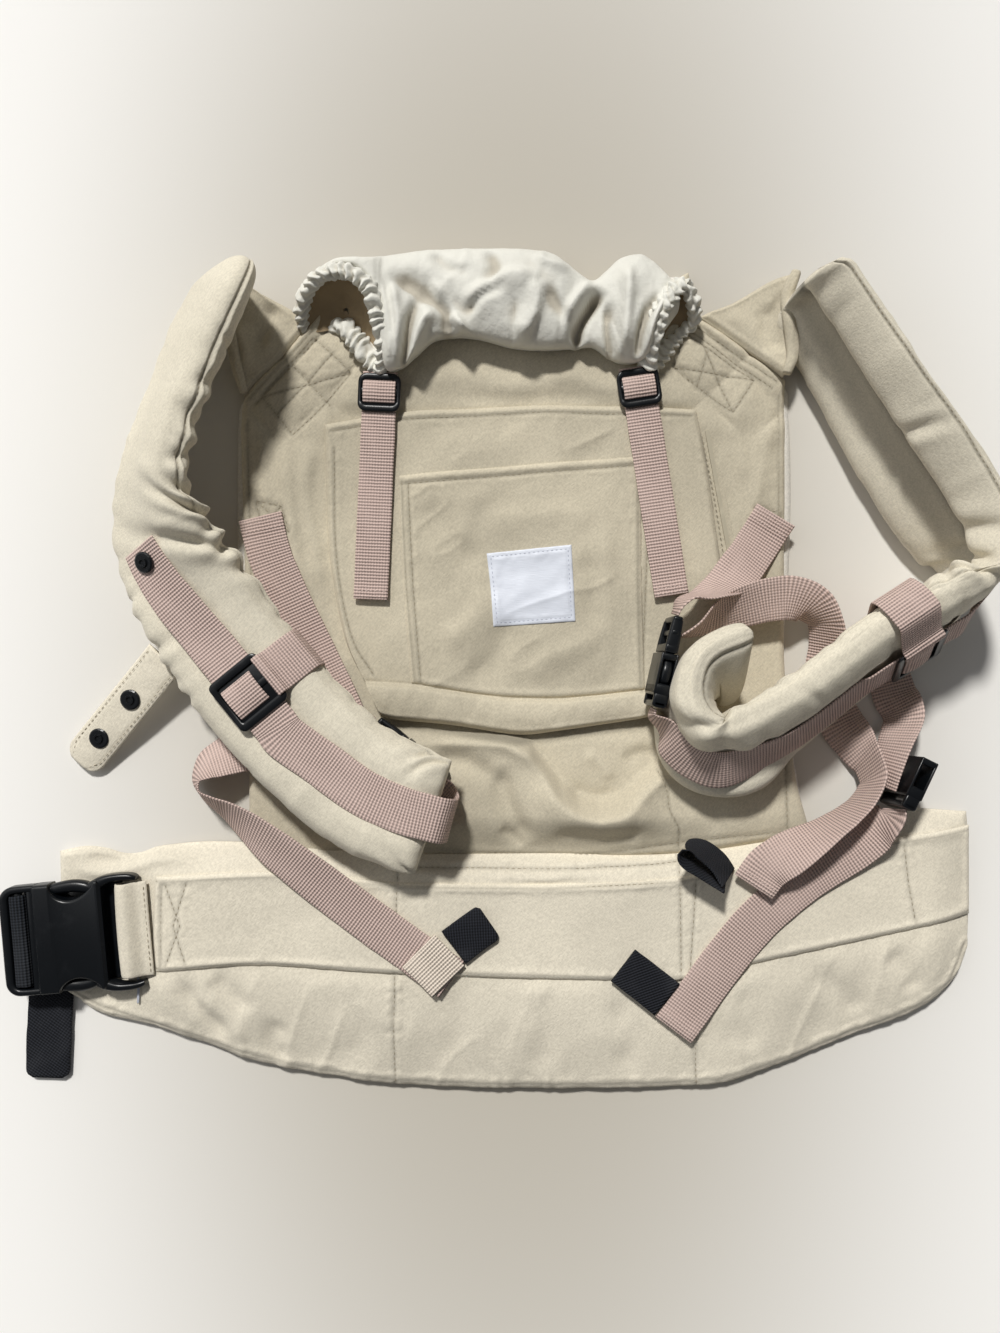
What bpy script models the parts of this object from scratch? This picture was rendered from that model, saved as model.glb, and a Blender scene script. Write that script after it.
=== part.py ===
"""Soft baby carrier, laid out flat on its back with the hood bunched up.

Every size below is in millimetres and is turned into metres where a mesh is made.
+X runs along the waist belt, +Y towards the hood, +Z up from the floor side of the
body panel, whose underside middle is the origin.
"""
import math

import bmesh
import bpy
import numpy as np
from mathutils import Vector

MM = 0.001

# --- clearances -------------------------------------------------------------
GAP = 0.35             # kept between pieces that lie on each other
RUN = 0.6              # running clearance of pieces that slide or turn

# --- webbing ----------------------------------------------------------------
WEB_T = 1.4            # thickness of every webbing
STRAP_W = 32.0         # shoulder, side and chest webbing
HOOD_STRAP_W = 25.0
WAIST_WEB_W = 60.0
KEEPER_W = 29.0        # black elastic loops
KEEPER_T = 1.6

# --- body panel -------------------------------------------------------------
LINING_T = 1.8
PANEL_T = 3.5
PANEL_BOTTOM = LINING_T + 0.3
PANEL_TOP = PANEL_BOTTOM + PANEL_T
BODY_BOTTOM_Y = -137.0
BODY_TOP_Y = 291.0
FOLD_LOW_Y = -134.0    # the loose fold of the body between pocket and belt
FOLD_HIGH_Y = -78.0
FOLD_H = 20.0
FOOT_STRAIGHT_Y = -60.0

# --- pockets ----------------------------------------------------------------
POCKET_T = 4.8
POCKET_BOTTOM = PANEL_TOP + GAP
POCKET_TOP = POCKET_BOTTOM + POCKET_T
SLIP_T = 1.3
SLIP_TOP = POCKET_TOP + GAP + SLIP_T
LABEL_W = 62.0
LABEL_H = 55.0
LABEL_T = 0.5
ZIP_W = 11.0
ZIP_T = 0.8
TEETH_W = 3.0
TEETH_T = 1.4
ZIP_SLIDER_L = 11.0
ZIP_SLIDER_W = 9.0

# --- waist belt -------------------------------------------------------------
BELT_BOTTOM = 2 * (WEB_T + GAP) + 0.4
BELT_MID_T = 16.5      # padded height under the band
BELT_EDGE_T = 5.0
BELT_END_T = 4.0
COVER_T = 1.2          # canvas of a padded cover
CORE_GAP = 0.4
BAND_T = 1.3
BAND_SLOT_W = 69.0     # slot of the waist buckle for the band's end

# --- shoulder pads ----------------------------------------------------------
PAD_W = 88.0
PAD_T = 28.0

# --- plastic hardware -------------------------------------------------------
SLIDER_L = 41.0        # chest strap slider, along the strip
SLIDER_BAR = 6.0
SLIDER_BAR_T = 2.2
SLIDER_RAIL = 4.0
GLIDE_L = 29.0         # tri-glide on each hood strap
GLIDE_BAR = 4.5
GLIDE_BAR_T = 1.8
GLIDE_RAIL = 3.5
SIDE_BUCKLE_W = 42.0
SIDE_BUCKLE_T = 12.0
SIDE_FEMALE_L = 38.0
SIDE_MALE_L = 26.0
SIDE_PRONG_L = 22.0
WAIST_BUCKLE_W = 80.0
WAIST_BUCKLE_T = 16.0
WAIST_MALE_L = 27.0
WAIST_PRONG_L = 40.0
WAIST_Z = 18.5         # mid height of the waist buckle
SNAP_D = 15.0
SNAP_T = 3.0
SNAP_AT = 5.15         # place of the left strip's snap, in the pad's control rows
TAB_W = 30.0
TAB_L = 106.0
TAB_T = 2.4

# --- looks of the solids ----------------------------------------------------
CANVAS = (0.52, 0.47, 0.36)
HOOD_CLOTH = (0.72, 0.70, 0.62)
WEBBING = (0.47, 0.36, 0.32)
BLACK = (0.012, 0.013, 0.015)
ELASTIC = (0.02, 0.021, 0.024)
FOAM = (0.85, 0.84, 0.80)
SATIN = (0.66, 0.68, 0.76)
CREAM = (0.74, 0.72, 0.66)


# ---------------------------------------------------------------------------
# tools
# ---------------------------------------------------------------------------
def material(name, colour, roughness, metallic=0.0):
    found = bpy.data.materials.get(name)
    if found:
        return found
    made = bpy.data.materials.new(name)
    made.use_nodes = True
    shader = made.node_tree.nodes["Principled BSDF"]
    shader.inputs["Base Color"].default_value = (*colour, 1.0)
    shader.inputs["Roughness"].default_value = roughness
    shader.inputs["Metallic"].default_value = metallic
    return made


def canvas():
    return material("canvas", CANVAS, 0.9)


def webbing():
    return material("webbing", WEBBING, 0.85)


def plastic():
    return material("black_plastic", BLACK, 0.3)


def elastic():
    return material("black_elastic", ELASTIC, 0.8)


def foam():
    return material("foam", FOAM, 0.95)


def solid(name, points, faces, look, smooth=True, origin=(0, 0, 0)):
    """A mesh object from points in millimetres, its origin at a point in millimetres."""
    base = Vector(origin)
    mesh = bpy.data.meshes.new(name)
    mesh.from_pydata([(Vector(p) - base) * MM for p in points], [], faces)
    body = bmesh.new()
    body.from_mesh(mesh)
    bmesh.ops.recalc_face_normals(body, faces=body.faces)
    body.to_mesh(mesh)
    body.free()
    mesh.materials.append(look)
    if smooth:
        mesh.shade_smooth()
        mesh.set_sharp_from_angle(angle=math.radians(35))
    made = bpy.data.objects.new(name, mesh)
    made.location = base * MM
    bpy.context.scene.collection.objects.link(made)
    return made


def loft(name, rings, look, hollow=None, smooth=True, origin=(0, 0, 0)):
    """Skin over closed rings of points; a hollow is a second run of rings, open at the start.

    A four-point ring is a flat strip's section: the strip may twist, so its two faces are
    split along matching diagonals and stay parallel."""
    count = len(rings[0])
    points = [p for ring in rings for p in ring]
    faces = []

    def skin(first, total):
        for r in range(total - 1):
            for i in range(count):
                j = (i + 1) % count
                a = first + r * count
                quad = (a + i, a + j, a + count + j, a + count + i)
                if count != 4:
                    faces.append(quad)
                elif i < 2:
                    faces.extend((quad[:3], (quad[0], quad[2], quad[3])))
                else:
                    faces.extend(((quad[0], quad[1], quad[3]), quad[1:]))

    skin(0, len(rings))
    faces.append(tuple((len(rings) - 1) * count + i for i in range(count)))
    if hollow:
        first = len(points)
        points += [p for ring in hollow for p in ring]
        skin(first, len(hollow))
        faces.append(tuple(first + (len(hollow) - 1) * count + i for i in range(count)))
        for i in range(count):
            j = (i + 1) % count
            faces.append((i, j, first + j, first + i))
    else:
        faces.append(tuple(range(count)))
    return solid(name, points, faces, look, smooth, origin)


def curve_through(route, steps):
    """Points of a smooth curve through every row of the route, whatever the rows hold."""
    rows = np.array(route, float)
    ends = np.vstack([2 * rows[0] - rows[1], rows, 2 * rows[-1] - rows[-2]])
    out = []
    for k in range(len(rows) - 1):
        p0, p1, p2, p3 = ends[k:k + 4]
        for s in range(steps):
            t = s / steps
            out.append(0.5 * (2 * p1 + (p2 - p0) * t + (2 * p0 - 5 * p1 + 4 * p2 - p3) * t * t
                              + (3 * p1 - p0 - 3 * p2 + p3) * t ** 3))
    out.append(rows[-1])
    return np.array(out)


def unit(v):
    return v / np.linalg.norm(v)


def frames(path, rolls):
    """Middle, across and up directions along a path; roll 0 lies flat, 90 stands on edge."""
    tangents = np.gradient(path, axis=0)
    result = []
    for middle, tangent, roll in zip(path, tangents, rolls):
        t = unit(tangent)
        level = unit(np.cross((0, 0, 1), t))
        rise = np.cross(t, level)
        c, s = math.cos(math.radians(roll)), math.sin(math.radians(roll))
        result.append((middle, level * c + rise * s, rise * c - level * s))
    return result


def flat_ring(middle, across, up, width, thick):
    a, b = across * width / 2, up * thick / 2
    return [middle - a - b, middle + a - b, middle + a + b, middle - a + b]


def ribbon(name, route, width, look, thick=WEB_T, steps=4, origin=(0, 0, 0)):
    """Flat webbing through route rows of x, y, z, roll."""
    rows = curve_through(route, steps)
    stations = frames(rows[:, :3], rows[:, 3])
    rings = [flat_ring(m, a, u, width, thick) for m, a, u in stations]
    return loft(name, rings, look, smooth=False, origin=origin)


def strap_round(name, route, across, width, look, thick=WEB_T, steps=4, origin=(0, 0, 0)):
    """Webbing that turns over bars: the across direction is fixed, or given for each row."""
    rows = curve_through(route, steps)
    sides = curve_through(across, steps) if np.ndim(across) == 2 else [across] * len(rows)
    tangents = np.gradient(rows, axis=0)
    rings = []
    for middle, tangent, side in zip(rows, tangents, sides):
        side = np.array(side, float)
        t = unit(tangent)
        side = unit(side - t * side.dot(t))
        rings.append(flat_ring(middle, side, np.cross(t, side), width, thick))
    return loft(name, rings, look, smooth=False, origin=origin)


def cushion_ring(middle, across, up, width, thick):
    """A rounded, flattened section of twelve points."""
    ring = []
    for k in range(12):
        angle = 2 * math.pi * (k + 0.5) / 12
        c, s = math.cos(angle), math.sin(angle)
        a = math.copysign(abs(c) ** 0.7, c) * width / 2
        b = math.copysign(abs(s) ** 0.8, s) * thick / 2
        ring.append(middle + across * a + up * b)
    return ring


def cells(name, xs, ys, zs, full, look, place, bevel=0.0, origin=(0, 0, 0)):
    """One solid from the filled cells of a grid; place turns a grid point into a world point."""
    index, points, faces = {}, [], []

    def corner(i, j, k):
        if (i, j, k) not in index:
            index[(i, j, k)] = len(points)
            points.append(place(xs[i], ys[j], zs[k]))
        return index[(i, j, k)]

    size = (len(xs) - 1, len(ys) - 1, len(zs) - 1)

    def filled(i, j, k):
        inside = 0 <= i < size[0] and 0 <= j < size[1] and 0 <= k < size[2]
        return inside and full(i, j, k)

    turns = ((1, 2), (2, 0), (0, 1))
    for i in range(size[0]):
        for j in range(size[1]):
            for k in range(size[2]):
                if not filled(i, j, k):
                    continue
                for axis, (u, v) in enumerate(turns):
                    for side in (0, 1):
                        step = [0, 0, 0]
                        step[axis] = 1 if side else -1
                        if filled(i + step[0], j + step[1], k + step[2]):
                            continue
                        square = []
                        for du, dv in ((0, 0), (1, 0), (1, 1), (0, 1)):
                            at = [i, j, k]
                            at[axis] += side
                            at[u] += du
                            at[v] += dv
                            square.append(corner(*at))
                        faces.append(tuple(square if side else square[::-1]))
    made = solid(name, points, faces, look, True, origin)
    if bevel:
        rounding = made.modifiers.new("rounding", "BEVEL")
        rounding.width = bevel * MM
        rounding.segments = 1
        rounding.limit_method = "ANGLE"
        rounding.angle_limit = math.radians(40)
    return made


def placer(middle, along, up):
    """A function from local millimetres (along, across, up) to the world."""
    middle, along = np.array(middle, float), unit(np.array(along, float))
    up = np.array(up, float)
    up = unit(up - along * up.dot(along))
    across = np.cross(up, along)
    return lambda x, y, z: tuple(middle + along * x + across * y + up * z)


def between(value, table):
    """Straight-line reading of a table of (key, value) rows."""
    keys = [row[0] for row in table]
    return float(np.interp(value, keys, [row[1] for row in table]))


# ---------------------------------------------------------------------------
# body panel, wings, pockets
# ---------------------------------------------------------------------------
BODY_LEFT = ((BODY_BOTTOM_Y, -196.0), (198.0, -200.0), (253.0, -153.0), (BODY_TOP_Y, -140.0))
BODY_RIGHT = ((BODY_BOTTOM_Y, 218.0), (-60.0, 203.0), (0.0, 198.0), (214.0, 198.0),
              (257.0, 137.0), (BODY_TOP_Y, 128.0))
LINING_SHOWS = 6.0     # how far the lining's edge shows past the panel at the arm gaps


def fold_height(x, y):
    """Extra height of the loose fold of canvas above the belt."""
    if not FOLD_LOW_Y < y < FOLD_HIGH_Y:
        return 0.0
    wave = math.sin(math.pi * (y - FOLD_LOW_Y) / (FOLD_HIGH_Y - FOLD_LOW_Y)) ** 2
    reach = between(x, ((-170, 0.0), (-55, 0.05), (-15, 0.75), (30, 1.0), (110, 0.85), (200, 0.35)))
    return FOLD_H * wave * reach


def above_belt(x, y):
    """Bends the rows near the body's foot so that the last one follows the belt's top edge."""
    if y >= FOOT_STRAIGHT_Y:
        return y
    t = (y - BODY_BOTTOM_Y) / (FOOT_STRAIGHT_Y - BODY_BOTTOM_Y)
    return (between(x, BELT_TOP) + 3 * GAP) * (1 - t) + FOOT_STRAIGHT_Y * t


def row_ring(y, left, right, low, high, columns=8):
    """Section across the body at one height: bottom row out, top row back."""
    xs = [left + (right - left) * i / columns for i in range(columns + 1)]
    bottom = [np.array((x, above_belt(x, y), low(x))) for x in xs]
    top = [np.array((x, above_belt(x, y), high(x))) for x in reversed(xs)]
    return bottom + top


def body_panel():
    fold = FOLD_HIGH_Y - FOLD_LOW_Y
    ys = [BODY_BOTTOM_Y] + [FOLD_LOW_Y + fold * k / 6 for k in range(7)]
    ys += [-60.0, 0.0, 100.0, 198.0, 214.0, 253.0, 257.0, BODY_TOP_Y]
    rings = []
    for y in ys:
        def low(x, y=y):
            return PANEL_BOTTOM + fold_height(x, y)

        def high(x, y=y):
            return PANEL_TOP + fold_height(x, y)

        rings.append(row_ring(y, between(y, BODY_LEFT), between(y, BODY_RIGHT), low, high))
    loft("body_panel", rings, canvas(), smooth=False)


def lining():
    rings = []
    for y in (BODY_BOTTOM_Y, -60.0, 60.0, 100.0, 180.0, 198.0, 214.0, 253.0, 257.0, BODY_TOP_Y):
        shows = LINING_SHOWS if 60.0 < y < 198.0 else 0.0
        left = between(y, BODY_LEFT) - shows
        right = between(y, BODY_RIGHT) + shows
        rings.append(row_ring(y, left, right, lambda x: 0.0, lambda x: LINING_T))
    loft("body_lining", rings, material("cream_lining", CREAM, 0.9), smooth=False)


def wing(name, outline):
    """Flat root of a shoulder strap, sewn along the body's slanted corner."""
    low = [np.array((x, y, PANEL_BOTTOM + 0.4)) for x, y in outline]
    high = [np.array((x, y, PANEL_TOP - 0.6)) for x, y in outline]
    loft(name, [low, high], canvas(), smooth=False)


def wings():
    wing("shoulder_wing_left", ((-153.9, 253.6), (-200.6, 198.6), (-199.0, 232.0), (-222.0, 246.0),
                                (-216.0, 284.0), (-192.0, 294.0), (-189.0, 272.0)))
    wing("shoulder_wing_right", ((137.3, 257.5), (174.0, 275.0), (206.0, 284.0), (226.0, 268.0),
                                 (224.0, 240.0), (204.0, 236.0), (198.5, 214.3)))


ZIP_TOP = (141.0, 176.0)
ZIP_FOOT = (171.0, 12.0)


def zip_edge(y):
    """X of the zip's middle at a height."""
    return between(y, ((ZIP_FOOT[1], ZIP_FOOT[0]), (ZIP_TOP[1], ZIP_TOP[0])))


def zip_pocket():
    left = ((-46.0, -90.0), (-17.0, -104.0), (20.0, -122.0), (79.0, -135.0), (186.0, -140.0))
    inset = ZIP_W / 2 + GAP
    rings = []
    for y in (-46.0, -17.0, 20.0, 79.0, 130.0, 186.0):
        right = between(y, ((-46.0, 112.0), (-17.0, 150.0), (12.0, zip_edge(12.0) - inset),
                            (186.0, zip_edge(176.0) - inset - 2.5)))
        rings.append(row_ring(y, between(y, left), right,
                              lambda x: POCKET_BOTTOM, lambda x: POCKET_TOP, 1))
    loft("zip_pocket", rings, canvas(), smooth=False)


def slip_pocket():
    low, high = POCKET_TOP + GAP, SLIP_TOP
    outline = ((-76.0, -12.0), (95.0, -17.0), (92.0, 154.0), (-86.0, 140.0))
    loft("slip_pocket", [[np.array((x, y, low)) for x, y in outline],
                         [np.array((x, y, high)) for x, y in outline]], canvas(), smooth=False)


def label():
    spot = placer((12.0, 58.5, SLIP_TOP + GAP), (0.997, 0.07, 0.0), (0, 0, 1))
    cells("pocket_label", (-LABEL_W / 2, LABEL_W / 2), (-LABEL_H / 2, LABEL_H / 2), (0, LABEL_T),
          lambda i, j, k: True, material("satin_label", SATIN, 0.45), spot)


def zip_line():
    head, foot = np.array((*ZIP_TOP, 0.0)), np.array((*ZIP_FOOT, 0.0))
    along = unit(head - foot)
    length = float(np.linalg.norm(head - foot))
    return foot, along, length


def zip_fastener():
    foot, along, length = zip_line()
    tape = placer(foot + (0, 0, POCKET_BOTTOM), along, (0, 0, 1))
    cells("zip_tape", (0, length), (-ZIP_W / 2, ZIP_W / 2), (0, ZIP_T),
          lambda i, j, k: True, canvas(), tape)
    teeth = placer(foot + (0, 0, POCKET_BOTTOM + ZIP_T + GAP), along, (0, 0, 1))
    cells("zip_teeth", (2.0, length - 2.0), (-TEETH_W / 2, TEETH_W / 2), (0, TEETH_T),
          lambda i, j, k: True, material("zip_teeth", CANVAS, 0.5), teeth)
    runner = placer(foot + along * 12.0 + (0, 0, POCKET_BOTTOM + ZIP_T), along, (0, 0, 1))
    half, tooth = ZIP_SLIDER_W / 2, TEETH_W / 2 + RUN
    roof = TEETH_T + GAP + RUN
    cells("zip_slider", (0, ZIP_SLIDER_L), (-half, -tooth, tooth, half), (RUN, roof, roof + 1.4),
          lambda i, j, k: k == 1 or j != 1, material("zip_metal", (0.45, 0.42, 0.36), 0.35, 1.0),
          runner, 0.3, origin=runner(0, 0, 0))


# ---------------------------------------------------------------------------
# waist belt
# ---------------------------------------------------------------------------
BELT_TOP = ((-337, -135.5), (-270, -132.0), (-207, -131.0), (-84, -137.8), (26, -138.0),
            (121, -138.0), (226, -122.0), (285, -106.0), (334, -107.0))
BELT_FOOT = ((-337, -240.0), (-326, -246.0), (-311, -260.0), (-241, -274.5), (-182, -293.0),
             (-88, -308.0), (26, -311.0), (133, -309.0), (181, -298.0), (248, -272.0),
             (300, -250.0), (326, -228.0), (337, -206.0))
BAND_TOP = ((-300, -156.0), (-265, -154.0), (-174, -149.0), (-84, -156.6), (25, -158.0),
            (119, -153.0), (221, -132.7), (334, -116.0))
BAND_FOOT = ((-300, -224.0), (-263, -222.6), (-185, -217.0), (-86, -223.0), (72, -228.0),
             (127, -227.0), (177, -215.0), (334, -181.0))
BELT_LEFT = -337.0
BELT_RIGHT = 334.0
BAND_LEFT = -262.0


def belt_height(x, t):
    """Top of the belt: t is 0 and 1 at the band's edges, below 0 and over 1 outside it."""
    full = between(x, ((BELT_LEFT, BELT_END_T), (-294, BELT_END_T), (-268, 7.0), (-250, BELT_MID_T),
                       (300, BELT_MID_T), (BELT_RIGHT, BELT_EDGE_T + 4)))
    edge = min(BELT_EDGE_T, full)
    return BELT_BOTTOM + (full if 0 <= t <= 1 else edge)


def belt_rows(x):
    """The five levels of the belt at one place along it, top edge first."""
    top, foot = between(x, BELT_TOP), between(x, BELT_FOOT)
    high, low = between(x, BAND_TOP), between(x, BAND_FOOT)
    rows = [(top, -1), (high + 1.5, 0), ((high + low) / 2, 0.5), (low - 1.5, 1)]
    if low - 22.0 > foot:
        rows.append((low - 22.0, 1))
    else:
        rows.append(((low + foot) / 2, 1))
    rows.append((foot, 2))
    return rows


def belt_ring(x, shrink):
    rows = belt_rows(x)
    top, foot = rows[0][0], rows[-1][0]
    ring = []
    for y, t in rows:
        ring.append(np.array((x, min(max(y, foot + shrink), top - shrink), BELT_BOTTOM + shrink)))
    for y, t in reversed(rows):
        level = belt_height(x, t) - shrink
        ring.append(np.array((x, min(max(y, foot + shrink), top - shrink), level)))
    return ring


BELT_XS = (BELT_LEFT, -326, -294, -268, -250, -207, -182, -140, -88, -30, 26, 80, 127, 177, 221, 260,
           300, 320, BELT_RIGHT)


def belt():
    outer = [belt_ring(x, 0.0) for x in BELT_XS]
    inner = [belt_ring(x, COVER_T) for x in BELT_XS[:-1]]
    loft("waist_belt_cover", outer, canvas(), hollow=inner, smooth=False)
    core = [belt_ring(x, COVER_T + CORE_GAP) for x in BELT_XS[4:-2]]
    loft("waist_belt_foam", core, foam(), smooth=False)


def band():
    """The canvas band on the belt; its left end turns round the buckle's bar and back."""
    place = waist_place()
    reach = SLOT_START + SLOT_L + END_BAR_L / 2
    turn = END_BAR_T / 2 + GAP + 1.5
    half = BAND_SLOT_W / 2 - 1.0

    def strip_ring(point_low, point_high, inner, outer):
        (xl, yl), (xh, yh) = point_low, point_high
        return [np.array((xh, yh, inner)), np.array((xl, yl, inner)),
                np.array((xl, yl, outer)), np.array((xh, yh, outer))]

    rings = []
    under = WAIST_Z - turn
    for back in (11.0, 1.0):
        edge = [place(reach + back, side * half, 0)[:2] for side in (-1, 1)]
        rings.append(strip_ring(*edge, under, under - BAND_T))
    for angle in (225, 180, 135):
        c, s = math.cos(math.radians(angle)), math.sin(math.radians(angle))
        ends = []
        for r in (turn, turn + BAND_T):
            stretch = END_BAR_L / 2 - END_BAR_T / 2
            ends.append([place(reach + c * (r + stretch), side * half, s * r) for side in (-1, 1)])
        rings.append([np.array(ends[0][1]), np.array(ends[0][0]),
                      np.array(ends[1][0]), np.array(ends[1][1])])
    for back in (-1.0, 8.0):
        edge = [place(reach + back, side * half, 0)[:2] for side in (-1, 1)]
        rings.append(strip_ring(*edge, WAIST_Z + turn, WAIST_Z + turn + BAND_T))
    for x in [x for x in BELT_XS if x > BAND_LEFT]:
        high, low = between(x, BAND_TOP), between(x, BAND_FOOT)
        base = belt_height(x, 0.5) + GAP
        rings.append(strip_ring((x, low), (x, high), base, base + BAND_T))
    loft("waist_belt_band", rings, canvas(), smooth=False)


# ---------------------------------------------------------------------------
# waist buckle
# ---------------------------------------------------------------------------
WAIST_AT = (-344.5, -197.5)      # where the buckle's two halves meet
WAIST_ALONG = (0.996, 0.09, 0.0)
WALL = 3.0
SLOT_START = 52.0                # strap slot of the socket half, from where the halves meet
SLOT_L = 9.0
END_BAR_L = 7.0
END_BAR_T = 6.0
HORN_L = 5.0                     # how far the slot's two sides reach past the bar
HORN_W = 5.0
MALE_BAR = 6.0                   # outer ladder bar of the prong half
MALE_SLOT = 7.0


def waist_place():
    return placer((*WAIST_AT, WAIST_Z), WAIST_ALONG, (0, 0, 1))


def waist_buckle():
    place = waist_place()
    w, t = WAIST_BUCKLE_W / 2, WAIST_BUCKLE_T / 2
    bar = END_BAR_T / 2
    band_slot = BAND_SLOT_W / 2
    # socket half: open towards the prongs, with the band's slot and bar at its far end
    xs = (0, 9.0, 36.0, WAIST_PRONG_L + 3.0, SLOT_START, SLOT_START + SLOT_L,
          SLOT_START + SLOT_L + END_BAR_L, SLOT_START + SLOT_L + END_BAR_L + HORN_L)
    ys = (-w, -band_slot - HORN_W, -band_slot, band_slot, band_slot + HORN_W, w)
    zs = (-t, -t + WALL, -bar, bar, t - WALL, t)

    def female(i, j, k):
        if i < 3:
            return k in (0, 4) or (j in (0, 1, 3, 4) and i != 1)
        if i == 3:
            return True
        horn = j in (1, 3) and k in (1, 2, 3)
        return horn or (i == 5 and j == 2 and k == 2)

    cells("waist_buckle_female", xs, ys, zs, female, plastic(), place, 1.2)
    # prong half: a guide tongue and two side prongs in the socket, a ladder bar outside
    m = WAIST_MALE_L
    slot = WAIST_WEB_W / 2 + 1.5
    xs = (-m, -m + MALE_BAR, -m + MALE_BAR + MALE_SLOT, -0.4, WAIST_PRONG_L - 2.0)
    prong = band_slot - 1.0
    ys = (-w + 1.0, -prong, -slot, -prong + 6.0, -9.0, 9.0, prong - 6.0, slot, prong, w - 1.0)
    zs = (-t + WALL + RUN, t - WALL - RUN)

    def male(i, j, k):
        if i == 3:
            return j in (1, 2, 4, 6, 7)
        if i == 1:
            return j in (0, 1, 7, 8)
        return True

    cells("waist_buckle_male", xs, ys, zs, male, plastic(), place, 0.8, origin=place(0, 0, 0))


def waist_webbing():
    low, high = 1.0, WEB_T * 1.5 + GAP + 0.4
    place = waist_place()
    black = material("black_webbing", ELASTIC, 0.7)
    start = SLOT_START - 2.0
    near = place(start, 0, high - WAIST_Z)
    ribbon("waist_webbing", [(322.0, -152.0, high, 0), (100.0, -171.0, high, 0),
                             (-100.0, -180.0, high, 0), (near[0], near[1], high, 0)],
           WAIST_WEB_W, black, steps=2)
    top = WAIST_BUCKLE_T / 2 - WALL - RUN + GAP + WEB_T / 2
    outer = -WAIST_MALE_L - GAP - WEB_T / 2
    slot = -WAIST_MALE_L + MALE_BAR + MALE_SLOT / 2
    route = ((start - 2.5, high - WAIST_Z), (12.0, high - WAIST_Z), (-4.0, high + 1.2 - WAIST_Z),
             (slot + 3.0, -9.5), (slot, -3.0), (slot, 2.5), (slot - 2.0, top + 0.2),
             (-WAIST_MALE_L + MALE_BAR / 2, top + 0.9), (outer - 0.6, top - 1.8),
             (outer - 0.6, -6.0), (outer + 0.5, -13.5), (outer + 6.0, low - WAIST_Z + 0.1),
             (outer + 14.0, low - WAIST_Z), (24.0, low - WAIST_Z))
    side = np.array(place(0, 1, 0)) - np.array(place(0, 0, 0))
    strap_round("waist_webbing_tail", [place(x, 0, z) for x, z in route], side, WAIST_WEB_W - 2,
                black, origin=place(0, 0, 0))
    x, y, z = place(2.0, -WAIST_WEB_W / 2 - 1.6, low - WAIST_Z)
    ribbon("waist_keeper", [(x, y, z + 0.8, 0), (x - 1, y - 20, z + 1.0, 0),
                            (x - 3, y - 76, z + 1.0, 0)],
           30.0, elastic(), thick=2 * KEEPER_T, steps=3, origin=place(0, 0, 0))


# ---------------------------------------------------------------------------
# shoulder pads and what is sewn on them
# ---------------------------------------------------------------------------
# x, y, z and roll of the pad's middle, then its width as a share of the full width
PAD_LEFT = ((-199, 284, 36.8, 53, 0.9), (-211, 257, 44, 53, 1), (-229, 216, 44, 53, 1),
            (-246, 167, 44, 53, 1), (-255, 125, 43, 48, 1), (-247, 85, 39, 28, 1),
            (-226, 45, 35, 8, 1), (-193, -2, 33, 0, 1), (-160, -40, 35, 0, 1),
            (-120, -77, 40, 0, 1), (-85, -97, 44, 0, 1), (-58, -106, 47, 0, 0.97))
PAD_RIGHT = ((206, 262, 45.8, 80, 0.9), (245, 197, 46, 76, 1), (279, 143, 46, 70, 1),
             (308, 98, 46, 74, 1), (319, 72, 46, 90, 1), (301, 47, 46, 108, 1),
             (256, 17, 47, 119, 0.97), (221, -10, 49, 121, 0.95), (185, -36, 50, 124, 0.94),
             (150, -51, 51, 126, 0.93), (127, -46, 51, 112, 0.92), (120, -25, 51, 94, 0.92),
             (132, -5, 51, 74, 0.9), (153, 3, 51, 64, 0.88))
PAD_STEPS = 2


def pad_stations(route):
    rows = curve_through(route, PAD_STEPS)
    return [(m, a, u, share) for (m, a, u), share in zip(frames(rows[:, :3], rows[:, 3]), rows[:, 4])]


def pad(name, route):
    """Canvas cover, open where it joins its wing, with a foam core inside."""
    stations = pad_stations(route)
    last = len(stations) - 1
    outer, inner, core = [], [], []
    for k, (m, a, u, share) in enumerate(stations):
        plump = 0.72 if k == last else 1.0
        wide, thick = PAD_W * share, PAD_T * plump
        outer.append(cushion_ring(m, a, u, wide, thick))
        if k < last:
            inner.append(cushion_ring(m, a, u, wide - 2 * COVER_T, thick - 2 * COVER_T))
        if 1 < k < last - 1:
            slack = 2 * (COVER_T + CORE_GAP)
            core.append(cushion_ring(m, a, u, wide - slack - 1, thick - slack))
    loft(name + "_cover", outer, canvas(), hollow=inner)
    loft(name + "_foam", core, foam())


def on_pad(route, at, lift, shift=0.0):
    """Point and directions on a pad: at counts control rows, lift is off the face, shift across."""
    stations = pad_stations(route)
    place = at * PAD_STEPS
    k = min(int(place), len(stations) - 2)
    t = place - k
    m = stations[k][0] * (1 - t) + stations[k + 1][0] * t
    a = unit(stations[k][1] * (1 - t) + stations[k + 1][1] * t)
    u = unit(stations[k][2] * (1 - t) + stations[k + 1][2] * t)
    run = unit(stations[k + 1][0] - stations[k][0])
    return m + u * lift + a * shift, a, u, run


FACE = PAD_T / 2 + GAP + WEB_T / 2       # a strip's middle, off the pad's middle
BRIDGE = FACE + SLIDER_BAR_T + RUN + 1.2   # the same where it passes over a slider's bar


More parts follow.
